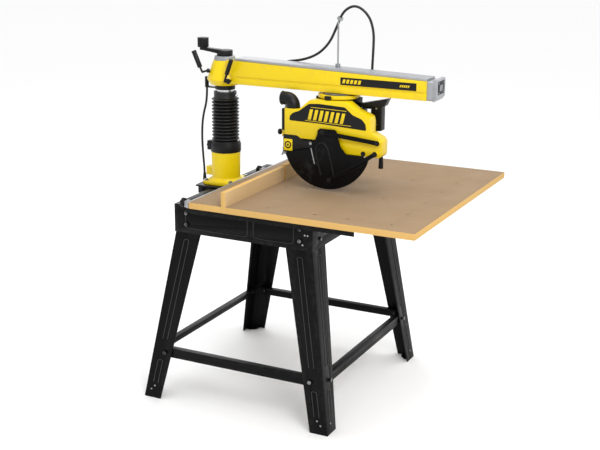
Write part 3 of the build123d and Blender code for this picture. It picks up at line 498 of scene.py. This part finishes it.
# %% Round the CAD pieces
rounding_of_node = {
    "arm_beam": 2.2, "arm_head": 2.5, "arm_top_cover": 1.2, "arm_nose": 0.8, "arm_end_cap": 1.5,
    "head_cap": 1.5,
    "column_base": 2.0, "column_bracket": 1.5, "column_neck": 1.2, "bellows_collar": 1.6, "crank": 1.5,
    "upper_guard": 2.2, "lower_guard": 1.0, "guard_link_upper": 1.0, "guard_link_lower": 1.0,
    "motor_housing": 2.0, "motor_end_cover": 3.0, "yoke": 2.5, "handle": 3.0, "trigger": 1.0,
    "bevel_lever": 1.2, "swivel_ring": 2.0, "carriage_body": 1.0, "carriage_knob": 1.2, "yoke_latch": 1.2,
    "table_board": 0.9, "rear_board": 0.9, "fence_left": 0.9, "fence_right": 0.9, "clamp_bar": 0.8,
    "clamp_screw_left": 1.2, "clamp_screw_right": 1.2, "table_frame": 0.9, "side_panels": 1.1,
    "end_panels": 1.1, "lower_rails": 0.9, "leg_front_left": 1.3, "leg_front_right": 1.3,
    "leg_rear_left": 1.3, "leg_rear_right": 1.3, "supply_box": 1.5, "mitre_clamp_lever": 1.2,
    "mitre_latch_lever": 1.2, "dust_elbow": 0.8,
}
upright_nodes = ("fence_left", "fence_right")


def rounded_copy(node, width):
    """A copy of a CAD node, merged, with its flat faces joined and its edges rounded."""
    piece = bpy.data.objects.new(node + "_rounded", frame["nodes"][node].data.copy())
    bpy.context.collection.objects.link(piece)
    pick(piece)
    bpy.ops.mesh.customdata_custom_splitnormals_clear()
    bpy.ops.object.mode_set(mode="EDIT")
    bpy.ops.mesh.select_all(action="SELECT")
    bpy.ops.mesh.remove_doubles(threshold=0.00002)
    bpy.ops.mesh.dissolve_limited(angle_limit=math.radians(0.6))
    bpy.ops.object.mode_set(mode="OBJECT")
    round_edges(piece, width / 1000, 2, 30)
    bpy.ops.object.shade_smooth_by_angle(angle=math.radians(35))
    piece.data.materials.clear()
    slot = slot_of_node[node]
    # The fences take the fibreboard copy with painted light on its broad faces.
    piece.data.materials.append(fence_board_painted_light if node in upright_nodes else finishes[slot])
    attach(piece, body_of_node[node])
    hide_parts(node)
    return piece


for node, width in rounding_of_node.items():
    rounded_copy(node, width)
for node, piece in frame["nodes"].items():
    piece.data.materials.clear()
    piece.data.materials.append(finishes[slot_of_node[node]])
print("rounded pieces:", len(rounding_of_node))

# %% [markdown]
# ## Bellows
# The rubber bellows keeps sawdust off the column. It is turned like a vase: one closed profile of
# folds is spun around the column's axis. On the saw it stretches with the column, between the
# stand, which holds its foot, and the column, which carries its head.

# %% Bellows
bellows_foot, bellows_head, cuff_head = 921.0, 1086.0, 1108.0
bellows_folds = 13
ridge, valley, bore = 52.0, 43.5, 38.2
points_a_fold = 10
pitch = (bellows_head - bellows_foot) / bellows_folds
profile = [(bore, cuff_head), (bore, bellows_foot), (valley + 1, bellows_foot)]
for step in range(bellows_folds * points_a_fold + 1):
    wave = 0.5 - 0.5 * math.cos(2 * math.pi * step / points_a_fold)
    fold_height = bellows_foot + 0.5 + step * (pitch * 0.995) / points_a_fold
    profile.append((valley + (ridge - valley) * wave ** 0.75, fold_height))
profile += [(valley - 0.5, bellows_head + 2), (valley - 0.5, cuff_head)]
bpy.ops.mesh.primitive_circle_add(vertices=len(profile), radius=0.01)
bellows = bpy.context.object
for vertex, (radius, z) in zip(bellows.data.vertices, profile):
    vertex.co = here(radius, 0, z)
bpy.ops.object.mode_set(mode="EDIT")
bpy.ops.mesh.select_all(action="SELECT")
bpy.ops.mesh.spin(steps=72, angle=2 * math.pi, center=here(0, 0, 0), axis=(0, 0, 1))
bpy.ops.mesh.select_all(action="SELECT")
bpy.ops.mesh.remove_doubles(threshold=0.00001)
bpy.ops.mesh.normals_make_consistent(inside=False)
bpy.ops.object.mode_set(mode="OBJECT")
bpy.ops.object.shade_smooth_by_angle(angle=math.radians(50))
bellows.name = "bellows_folds"
bellows.data.materials.clear()
bellows.data.materials.append(finishes["black_rubber"])
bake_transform(bellows)
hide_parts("bellows")

# %% [markdown]
# ## Cables
# The motor's cable rises from the carriage, loops over and runs through the mast's ring to the arm.
# The supply cable drops from the column's neck to the switch box. Each follows one smooth line. On the
# saw both bend as their ends move apart.

# %% Cables
motor_cable_route = [(58, -575, 1165), (58, -575, 1225), (59, -578, 1295), (55, -580, 1362),
                     (46, -563, 1418), (35, -518, 1453), (24, -474, 1430), (20, -452, 1374),
                     (26, -422, 1314), (37, -372, 1268), (48, -306, 1241), (52, -232, 1230),
                     (51, -162, 1208), (51, -92, 1208)]
cable_jacket_radius = {"motor": 4.7, "supply": 4.2}
supply_cable_route = [(0, 97, 752), (0, 97, 796), (0, 103, 860), (0, 106, 935), (0, 100, 1005),
                      (0, 80, 1068), (0, 80, 1117)]


def cable(name, route, radius):
    piece, path = tube_along(route, radius, name)
    piece.name = name
    bpy.ops.object.shade_smooth()
    piece.data.materials.clear()
    piece.data.materials.append(finishes["cable_jacket"])
    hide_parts(name.replace("_flex", ""))
    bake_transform(piece)


cable("motor_cable_flex", motor_cable_route, cable_jacket_radius["motor"])
cable("supply_cable_flex", supply_cable_route, cable_jacket_radius["supply"])


# %% [markdown]
# ## Pressed ribs of the stand
# The legs are folded from thin sheet, and a channel pressed into each flange keeps it from buckling.
# What the eye sees of a channel is its raised bead, so the bead is a thin bar that runs up one side,
# round the top and down again, half sunk in the sheet.

# %% Where a leg's corner is
leg_low, leg_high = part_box("leg_rear_left")
front_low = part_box("leg_front_left")[0]
panel_low, panel_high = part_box("side_panels")
foot_half = -leg_low.x * 1000
foot_rear = (leg_high.y - column_y) * 1000
foot_front = (column_y - front_low.y) * 1000
frame_half = panel_high.x * 1000
frame_rear = (panel_high.y - column_y) * 1000
frame_front = (column_y - panel_low.y) * 1000
frame_bottom = panel_low.z * 1000
leg_tuck = 2.7
flange_foot, flange_growth = 70.0, 38.0 / 735.0


def leg_corner(side, end, z):
    """Where a leg's folded edge stands at a height. The leg leans in towards the frame."""
    x = side * (foot_half - (foot_half - frame_half + leg_tuck) * z / frame_bottom)
    if end > 0:
        return x, foot_rear - (foot_rear - frame_rear + leg_tuck) * z / frame_bottom
    return x, -(foot_front - (foot_front - frame_front + leg_tuck) * z / frame_bottom)


def flange_place(side, end, flank, inward, z):
    """A place on a leg's outer face. flank 0 is the face towards X, 1 the face towards Y."""
    x, y = leg_corner(side, end, z)
    return (x, y - end * inward, z) if flank == 0 else (x - side * inward, y, z)


# %% Leg beads
bead_radius = 1.7
channel_half = 10.0
channel_top, channel_foot = 622.0, 236.0
short_top, short_foot = 152.0, 62.0


def channel_bead(side, end, flank, low, high):
    """A U-shaped bead, open at its foot."""
    def middle_at(z):
        return (flange_foot + flange_growth * z) * 0.5
    rise = (low, high - 14, high - 3)
    left = [flange_place(side, end, flank, middle_at(z) - channel_half, z) for z in rise]
    right = [flange_place(side, end, flank, middle_at(z) + channel_half, z) for z in reversed(rise)]
    crown = [flange_place(side, end, flank, middle_at(high) + shift, high) for shift in (-5, 5)]
    piece, _ = tube_along(left + crown + right, bead_radius, "bead")
    return piece


beads = []
for side in (-1, 1):
    for end in (-1, 1):
        for flank in (0, 1):
            beads.append(channel_bead(side, end, flank, channel_foot, channel_top))
            beads.append(channel_bead(side, end, flank, short_foot, short_top))
# A lighter copy of the black paint, with still lighter edges, for the beads: painted highlight along the
# beads' edges.
bead_highlight_black = finish_of("black paint with painted bead highlights", (0.004, 0.004, 0.0044), (0.016, 0.016, 0.017),
                         (0.22, 0.36), bump=0.15, worn=(0.08, 0.08, 0.08), gloss=0.45)
complete(together(beads), "leg_beads", "stand", "black_paint", bead_highlight_black)

# %% [markdown]
# ## Side panels
# Each side panel has two shallow fields pressed into it, with a rounded border. The border is modelled
# like the beads of the legs, as a closed thin bar, because it is the part that catches the light.

# %% Panel beads
panel_marks = []
panel_bead_radius = 1.3
field_low, field_middle, field_high, field_corner = 665, 700, 735, 8
for side in (-1, 1):
    face = side * frame_half
    for first, last in ((-34, -288), (-312, -470)):
        ring = [(face, first, field_low + 7), (face, first, field_middle), (face, first, field_high - 7),
                (face, first - field_corner, field_high), (face, last + field_corner, field_high),
                (face, last, field_high - 7), (face, last, field_middle), (face, last, field_low + 7),
                (face, last + field_corner, field_low), (face, first - field_corner, field_low)]
        panel_marks.append(tube_along(ring, panel_bead_radius, "panel bead", closed=True)[0])
# The panel beads take the same black paint, with painted highlight along their edges.
complete(together(panel_marks), "panel_beads", "stand", "black_paint", bead_highlight_black)

# %% [markdown]
# ## Screws of the panels and feet
# Small zinc screws hold the table's frame to the panels and the feet to the legs. A screw is a turned
# disc with a hollow in its head, and one function makes them all.

# %% Panel and foot screws
screw_radius, screw_rounding, screw_sides = 3.4, 0.6, 24


def panel_screw(centre, way, height, dish):
    return turned(centre, way, screw_radius, height, screw_rounding, screw_sides, dish)


screws = []
for side in (-1, 1):
    for y, z in ((-169, 741), (-382, 741), (-491, 741), (-514, 703), (-525, 703), (-506, 667)):
        screws.append(panel_screw((side * frame_half, y, z), (side, 0, 0), 2.4, 0.8))
    for end in (-1, 1):
        for inward, z in ((24, 33), (36, 48)):
            screws.append(panel_screw(flange_place(side, end, 0, inward, z), (side, 0, 0), 1.8, 0.6))
        screws.append(panel_screw(flange_place(side, end, 1, 30, 36), (0, end, 0), 1.8, 0.6))
complete(together(screws), "panel_screws", "stand", "zinc_steel")

# %% [markdown]
# ## Bolts of the column's base
# Four hexagon bolts with washers hold the casting down. A bolt head is a six-sided cylinder with its
# edges rounded, on a thin turned washer.


# %% Base bolts
washer_thick = 1.2
plate_top = 769


def hexagon(centre, way, radius, height):
    """A hexagon head on its washer."""
    return together([turned(centre, way, radius * 1.35, washer_thick, 0.3, 32),
                     turned(Vector(centre) + Vector(way) * washer_thick, way, radius, height, 0.7, 6)])


base_bolts = [hexagon((x, y, plate_top), (0, 0, 1), 7.5, 6.0) for x in (-61, 61) for y in (-53, 53)]
complete(together(base_bolts), "base_bolts", "stand", "zinc_steel")


# %% [markdown]
# ## Bands on the bellows
# A steel band grips each end of the rubber. It is an open circle, drawn up into a wall, given its
# thickness by a Solidify modifier and rounded. The collar under it is split, and a lug with a bolt
# draws it tight.


# %% Steel bands
def band(z, radius, height, thick):
    bpy.ops.mesh.primitive_circle_add(vertices=72, radius=radius / 1000, location=here(0, 0, z))
    piece = bpy.context.object
    bpy.ops.object.transform_apply(location=True, rotation=True, scale=True)
    bpy.ops.object.mode_set(mode="EDIT")
    bpy.ops.mesh.select_all(action="SELECT")
    bpy.ops.mesh.extrude_region_move(TRANSFORM_OT_translate={"value": (0, 0, height / 1000)})
    bpy.ops.mesh.select_all(action="SELECT")
    bpy.ops.mesh.normals_make_consistent(inside=False)
    bpy.ops.object.mode_set(mode="OBJECT")
    wall = piece.modifiers.new("wall", "SOLIDIFY")
    wall.thickness = thick / 1000
    bpy.ops.object.modifier_apply(modifier=wall.name)
    round_edges(piece, 0.35 / 1000)
    return piece


foot_band = together([band(bellows_foot + 0.4, 52.8, 5.5, 1.4), bar((-8, -60, 921), (8, -52, 928), 1.2)])
complete(foot_band, "bellows_foot_band", "stand", "bright_steel")
head_band = together([band(bellows_head + 4, 45.6, 10, 1.6), bar((-7, -51.5, 1092), (7, -44.5, 1099), 1.2)])
complete(head_band, "bellows_head_band", "column", "bright_steel")
collar_lug = together([bar((-34, 40, 882), (-12, 64, 918), 3.0, 3),
                       turned((-24, 63, 900), (0, 1, 0), 6.5, 5, 0.8, 6)])
complete(collar_lug, "collar_lug", "stand", "black_plastic")

# %% [markdown]
# ## Panel and marks on the guard
# A black panel fills the middle of the yellow guard. Where such a panel carries lettering, this one
# has slanted bars between two lines, which belong to nobody.

# %% Guard panel
guard_face = -98.0
panel_thick = 1.0
panel_outline = [(-322, 1043), (-325, 1061), (-338, 1072), (-361, 1080), (-400, 1109), (-441, 1112),
                 (-541, 1108), (-571, 1083), (-606, 1071), (-621, 1055), (-624, 1032), (-442, 1041)]
complete(outline_plate(panel_outline, guard_face, panel_thick, corner=5), "guard_panel", "motor",
         "black_plastic")

bars = []
bar_count, bar_pitch, bar_wide, bar_slant = 7, 21.0, 12.5, 9.0
bar_foot, bar_head, bar_drop = 1052.0, 1090.0, 0.7
bar_thick, line_wide = 0.5, 2
panel_front = guard_face - panel_thick
for number in range(bar_count):
    start = -396 - number * bar_pitch
    foot, head = bar_foot - number * bar_drop, bar_head - number * bar_drop
    bars.append(outline_plate([(start, foot), (start - bar_wide, foot), (start - bar_wide - bar_slant, head),
                               (start - bar_slant, head)], panel_front, bar_thick, corner=0.8))
for first, last, z, drop in ((-386, -566, 1047, 5), (-408, -548, 1096.5, 3)):
    bars.append(outline_plate([(first, z), (last, z - drop), (last, z - drop + line_wide),
                               (first, z + line_wide)], panel_front, bar_thick, corner=0.4))
complete(together(bars), "guard_bars", "motor", "yellow_paint")

# %% [markdown]
# ## Skirt, badge and boss of the guard
# A black skirt covers the guard's lower rear corner, and a yellow badge sits on it. The badge keeps to
# a plain ring and dot. They are thin plates and turned discs, laid one on the other in small steps.

# %% Guard skirt, badge and boss
skirt_face = guard_face + 1.0
skirt_thick = 2.0
skirt_outline = [(-298, 990), (-298, 926), (-345, 920), (-420, 930), (-470, 958), (-452, 974), (-380, 974),
                 (-352, 990)]
complete(outline_plate(skirt_outline, skirt_face, skirt_thick, corner=4), "guard_skirt", "motor",
         "black_plastic")
badge_face = skirt_face - skirt_thick
complete(outline_plate([(-300, 931), (-335, 931), (-335, 974), (-300, 974)], badge_face, 0.5, corner=2),
         "badge", "motor", "yellow_paint")
badge_middle = (badge_face - 0.4, -317.5, 952.5)
for name, radius, height, slot in (("badge_ring", 13.5, 0.5, "black_plastic"),
                                   ("badge_disc", 8.5, 0.9, "yellow_paint"),
                                   ("badge_dot", 4.0, 1.3, "black_plastic")):
    complete(turned(badge_middle, (-1, 0, 0), radius, height, 0.1), name, "motor", slot)
complete(turned((guard_face + 0.5, -614, 949), (-1, 0, 0), 8.5, 3.0, 0.6, dish=0.8), "guard_boss", "motor",
         "black_plastic")

# %% [markdown]
# ## Rear of the guard
# Two black cheeks stand at the guard's rear, with room between them for the kickback rod. A knob holds
# the rod at its height and a wing nut holds the pawls. Blocks and turned discs with generous rounding
# are enough for parts that a hand grips.

# %% Rear cheeks, knob and wing nut
guard_rear = -303.0
rod_x = -65
cheeks = [bar((low, guard_rear - 3, 1004), (high, guard_rear + 13, 1083), 1.6)
          for low, high in ((-96, -76), (-55, -48))]
complete(together(cheeks), "guard_rear_cheeks", "motor", "black_plastic")
knob_parts = [turned((rod_x, -284, 990), (0, 1, 0), 4.5, 12, 0.6, 24),
              turned((rod_x, -273, 990), (0, 1, 0), 10.5, 11, 2.4)]
complete(together(knob_parts), "kickback_knob", "motor", "black_plastic")
wing_parts = [turned((rod_x, -292, 936), (0, 0, 1), 8, 8, 1.2, 24),
              bar((rod_x - 19, -295, 939), (rod_x + 19, -289, 951), 2.6, 3)]
complete(together(wing_parts), "kickback_wing", "kickback", "zinc_steel")

# %% [markdown]
# ## The lower guard
# The black dish has pressed ribs and turns on bolts at the ends of its two links. Each bolt rides on
# the link that holds it, so that it stays in place when the guard lifts.

# %% Dish ribs and link bolts
dish_face = -109.0
link_face = -115.0
arch = [(-455, 856), (-443, 905), (-434, 948), (-444, 972), (-466, 975), (-482, 955), (-496, 905),
        (-508, 852)]
spoke = [(-532, 862), (-572, 884), (-622, 912)]
stay_line = [(-416, 952), (-424, 918), (-430, 896)]
ribs = [tube_along([(dish_face, y, z) for y, z in arch], 3.2, "rib")[0],
        tube_along([(dish_face, y, z) for y, z in spoke], 2.4, "rib")[0]]
complete(together(ribs), "dish_ribs", "dish", "black_plastic")
stay, _ = tube_along([(dish_face - 1, y, z) for y, z in stay_line], 2.4, "stay")
complete(stay, "dish_stay", "dish", "zinc_steel")
dish_bolt = turned((dish_face, -414, 969), (-1, 0, 0), 5.5, 3.5, 0.8, 24, dish=1.0)
complete(dish_bolt, "dish_bolt", "dish", "zinc_steel")
for name, body, places in (("upper_link_bolts", "link_a", ((-463, 1013), (-673, 995))),
                           ("lower_link_bolts", "link_b", ((-490, 842), (-665, 955)))):
    heads = []
    for y, z in places:
        heads.append(turned((link_face, y, z), (-1, 0, 0), 9.5, 1.5, 0.4, 32))
        heads.append(turned((link_face - 1.5, y, z), (-1, 0, 0), 6.8, 3.6, 0.8, 6))
    complete(together(heads), name, body, "black_plastic")

# %% [markdown]
# ## The arm's label
# A black strip is let into the arm's side. Where a maker would print a name, it carries plain slanted
# bars, cut from thin plates so that they are there in the mesh as well.

# %% Label strip
arm_face = -43.0
strip_low, strip_high = 1176.5, 1203.5
strip_rear, strip_front, strip_thick = -497, -785, 0.8
strip = outline_plate([(strip_rear, strip_low), (strip_front, strip_low), (strip_front, strip_high),
                       (strip_rear, strip_high)], arm_face, strip_thick, corner=1.5)
complete(strip, "arm_label", "arm", "black_plastic")
bars = []
slant = 4
for start, wide, low, high, count in ((-504, 10, 1183, 1197, 5), (-722, 5, 1186, 1194, 5)):
    for number in range(count):
        y = start - number * wide * 1.5
        bars.append(outline_plate([(y, low), (y - wide, low), (y - wide - slant, high), (y - slant, high)],
                                  arm_face - strip_thick, 0.4, corner=0.5))
complete(together(bars), "arm_label_bars", "arm", "yellow_paint")

# %% [markdown]
# ## Folds of the arm
# The arm's cheeks are pressed with one long fold each, which stiffens them and draws a thin line along
# the side. A slim rounded block, half sunk in the cheek, makes the same line.

# %% Folds along the arm's sides
fold_low = 1170.0
folds = [bar((side * 42, -815, fold_low), (side * 44.4, -72, fold_low + 2.4), 1.0) for side in (-1, 1)]
complete(together(folds), "arm_folds", "arm", "yellow_paint")

# %% [markdown]
# ## Rule
# The aluminium cover carries a rule for the width of a rip cut. Its marks are bars without figures,
# every fifth one longer. The cover slopes down to the front, so each mark takes its height from the
# slope. Marks as geometry stay sharp at any distance.

# %% Rule on the cover
arm_rear, arm_front = 30.0, 822.0
arm_tall_rear, arm_tall_front = 87.0, 67.0
arm_bottom, cover_thick = 1145.0, 9.0
arm_slope = (arm_tall_rear - arm_tall_front) / (arm_front - arm_rear)


def cover_top(y):
    return arm_bottom + arm_tall_rear + cover_thick - (-y - arm_rear) * arm_slope


ticks = []
rule_edge, rule_start, rule_marks, rule_pitch = -35, -240, 58, 10
for number in range(rule_marks):
    y = rule_start - number * rule_pitch
    long = 14 if number % 5 == 0 else 8
    top = cover_top(y)
    ticks.append(bar((rule_edge, y - 0.6, top - 0.5), (rule_edge + long, y + 0.6, top + 0.15), 0.05, 1))
complete(together(ticks), "arm_rule", "arm", "black_plastic")

# %% [markdown]
# ## End of the arm
# A dark insert closes the cap at the arm's front, held by four small screws, with three light marks in
# the place of a printed sign.

# %% End cap insert and screws
cap_face = -859.0
complete(bar((-31, cap_face - 1.6, 1166), (31, cap_face + 5, 1212), 2.2, 3), "end_insert", "arm",
         "black_plastic")
cap_screws = [turned((x, cap_face - 1, z), (0, -1, 0), 3.2, 1.6, 0.5, 24, dish=0.6)
              for x in (-25, 25) for z in (1172, 1206)]
complete(together(cap_screws), "end_screws", "arm", "zinc_steel")
marks = [bar((x, cap_face - 2.0, 1178), (x + 5, cap_face - 1, 1199), 0.6) for x in (-14, -5, 4)]
complete(together(marks), "end_insert_marks", "arm", "grey_plastic")

# %% [markdown]
# ## Motor
# The motor's casing has cooling rings, and its end cover breathes through radial ribs. A ring is a
# turned disc a little wider than the casing. One rib is modelled above the axis and each copy is
# turned about it in edit mode, so that its place stays in its mesh.

# %% Motor rings and ribs
motor_axis_y = -474.0
motor_axis_z = 978.0
ring_radius, ring_wide = 64.0, 3.2
rings = [turned((x, motor_axis_y, motor_axis_z), (1, 0, 0), ring_radius, ring_wide, 0.9, 72)
         for x in range(24, 116, 9)]
complete(together(rings), "motor_rings", "motor", "black_paint")
cover_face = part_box("motor_end_cover")[1].x * 1000
rays = []
ray_count = 16
for number in range(ray_count):
    angle = 2 * math.pi * number / ray_count
    ray = bar((cover_face - 1.5, motor_axis_y + 20, motor_axis_z - 1.6),
              (cover_face + 1.6, motor_axis_y + 46, motor_axis_z + 1.6), 0.7)
    pick(ray)
    bpy.ops.object.mode_set(mode="EDIT")
    bpy.ops.mesh.select_all(action="SELECT")
    bpy.ops.transform.rotate(value=angle, orient_axis="X",
                             center_override=here(0, motor_axis_y, motor_axis_z))
    bpy.ops.object.mode_set(mode="OBJECT")
    rays.append(ray)
rays.append(turned((cover_face - 1, motor_axis_y, motor_axis_z), (1, 0, 0), 15, 3.0, 1.0, 48, dish=1.2))
complete(together(rays), "motor_cover_ribs", "motor", "black_plastic")

# %% [markdown]
# ## Strain reliefs
# A cable that leaves a housing needs a tapered sleeve, or it would break at the edge. Each sleeve is a
# cone with rings moulded on it, which let it bend without folding.


# %% Sleeves
def sleeve(start, way, wide, narrow, length, name, body):
    """A tapered sleeve from its wide end, with five rings."""
    way = Vector(way)
    base = here(*start)
    bpy.ops.mesh.primitive_cone_add(vertices=32, radius1=wide / 1000, radius2=narrow / 1000,
                                    depth=length / 1000, location=base + way * length / 2000,
                                    rotation=way.to_track_quat("Z", "Y").to_euler())
    cone = bpy.context.object
    bpy.ops.object.transform_apply(location=True, rotation=True, scale=True)
    round_edges(cone, 0.0006)
    parts = [cone]
    rings = 5
    for number in range(rings):
        share = (number + 0.4) / rings
        parts.append(turned(Vector(start) + way * length * share, way, wide + (narrow - wide) * share + 1.1,
                            length * 0.09, 0.6, 32))
    complete(together(parts), name, body, "black_rubber")


sleeve((58, -575, 1164), (0, 0, 1), 7.6, 5.2, 38, "carriage_sleeve", "carriage")
sleeve((51, -91, 1208), (0, -1, 0), 7.6, 5.2, 34, "arm_sleeve", "arm")
sleeve((0, 97, 750), (0, 0, 1), 7.4, 4.8, 32, "box_sleeve", "stand")

# %% [markdown]
# ## Dust elbow's lip and the handle's screws
# The elbow's mouth ends in a rolled lip, so that a hose doesn't slip off: a torus at the mouth. The
# handle is two shells, drawn together by three small screws.

# %% Elbow lip and handle screws
lip_radius, lip_roll = 0.0232, 0.0024
bpy.ops.mesh.primitive_torus_add(major_radius=lip_radius, minor_radius=lip_roll, major_segments=56,
                                 minor_segments=12, location=here(-72, -282, 1117),
                                 rotation=(math.pi / 2, 0, 0))
complete(bpy.context.object, "elbow_lip", "motor", "black_plastic", smooth=60)
handle_face = -14
handle_screws = [turned((handle_face, y, z), (-1, 0, 0), 3.6, 1.6, 0.4, 24, dish=0.6)
                 for y, z in ((-570, 1096), (-626, 1098), (-626, 1040))]
complete(together(handle_screws), "handle_screws", "yoke_assembly", "zinc_steel")

# %% [markdown]
# ## Floor and light
# A pale floor and large soft lamps show the object plainly, as a studio does. Most of the light comes
# from a white world, so the lamps only give the faces their shading and the paint its shine.

# %% Floor, world and lamps
bpy.ops.mesh.primitive_plane_add(size=40, location=(0, 0, 0))
floor = bpy.context.object
floor.name = "studio_floor"
floor_finish = finish_of("studio floor", (0.97, 0.97, 0.97), (0.96, 0.96, 0.96), (0.8, 0.9), bump=0.0)
floor.data.materials.append(floor_finish)

world = bpy.data.worlds.new("studio")
bpy.context.scene.world = world
world.use_nodes = True
world.node_tree.nodes["Background"].inputs["Color"].default_value = (1, 1, 1, 1)
world.node_tree.nodes["Background"].inputs["Strength"].default_value = 1.0
bpy.context.scene.view_settings.view_transform = "Standard"


def lamp(name, place, aim, size, power):
    bpy.ops.object.light_add(type="AREA", location=place)
    light = bpy.context.object
    light.name = name
    light.data.shape = "RECTANGLE"
    light.data.size, light.data.size_y = size
    light.data.energy = power
    light.rotation_euler = (aim - Vector(place)).to_track_quat("-Z", "Y").to_euler()
    print(name, power, "watts")


middle = here(0, -350, 900)
lamp("key lamp", (-2.6, -2.6, 3.2), middle, (1.6, 1.6), 80)
lamp("top lamp", (0.2, -0.6, 3.6), middle, (2.4, 2.4), 50)
lamp("rim lamp", (2.6, 2.2, 2.2), middle, (1.6, 2.2), 14)
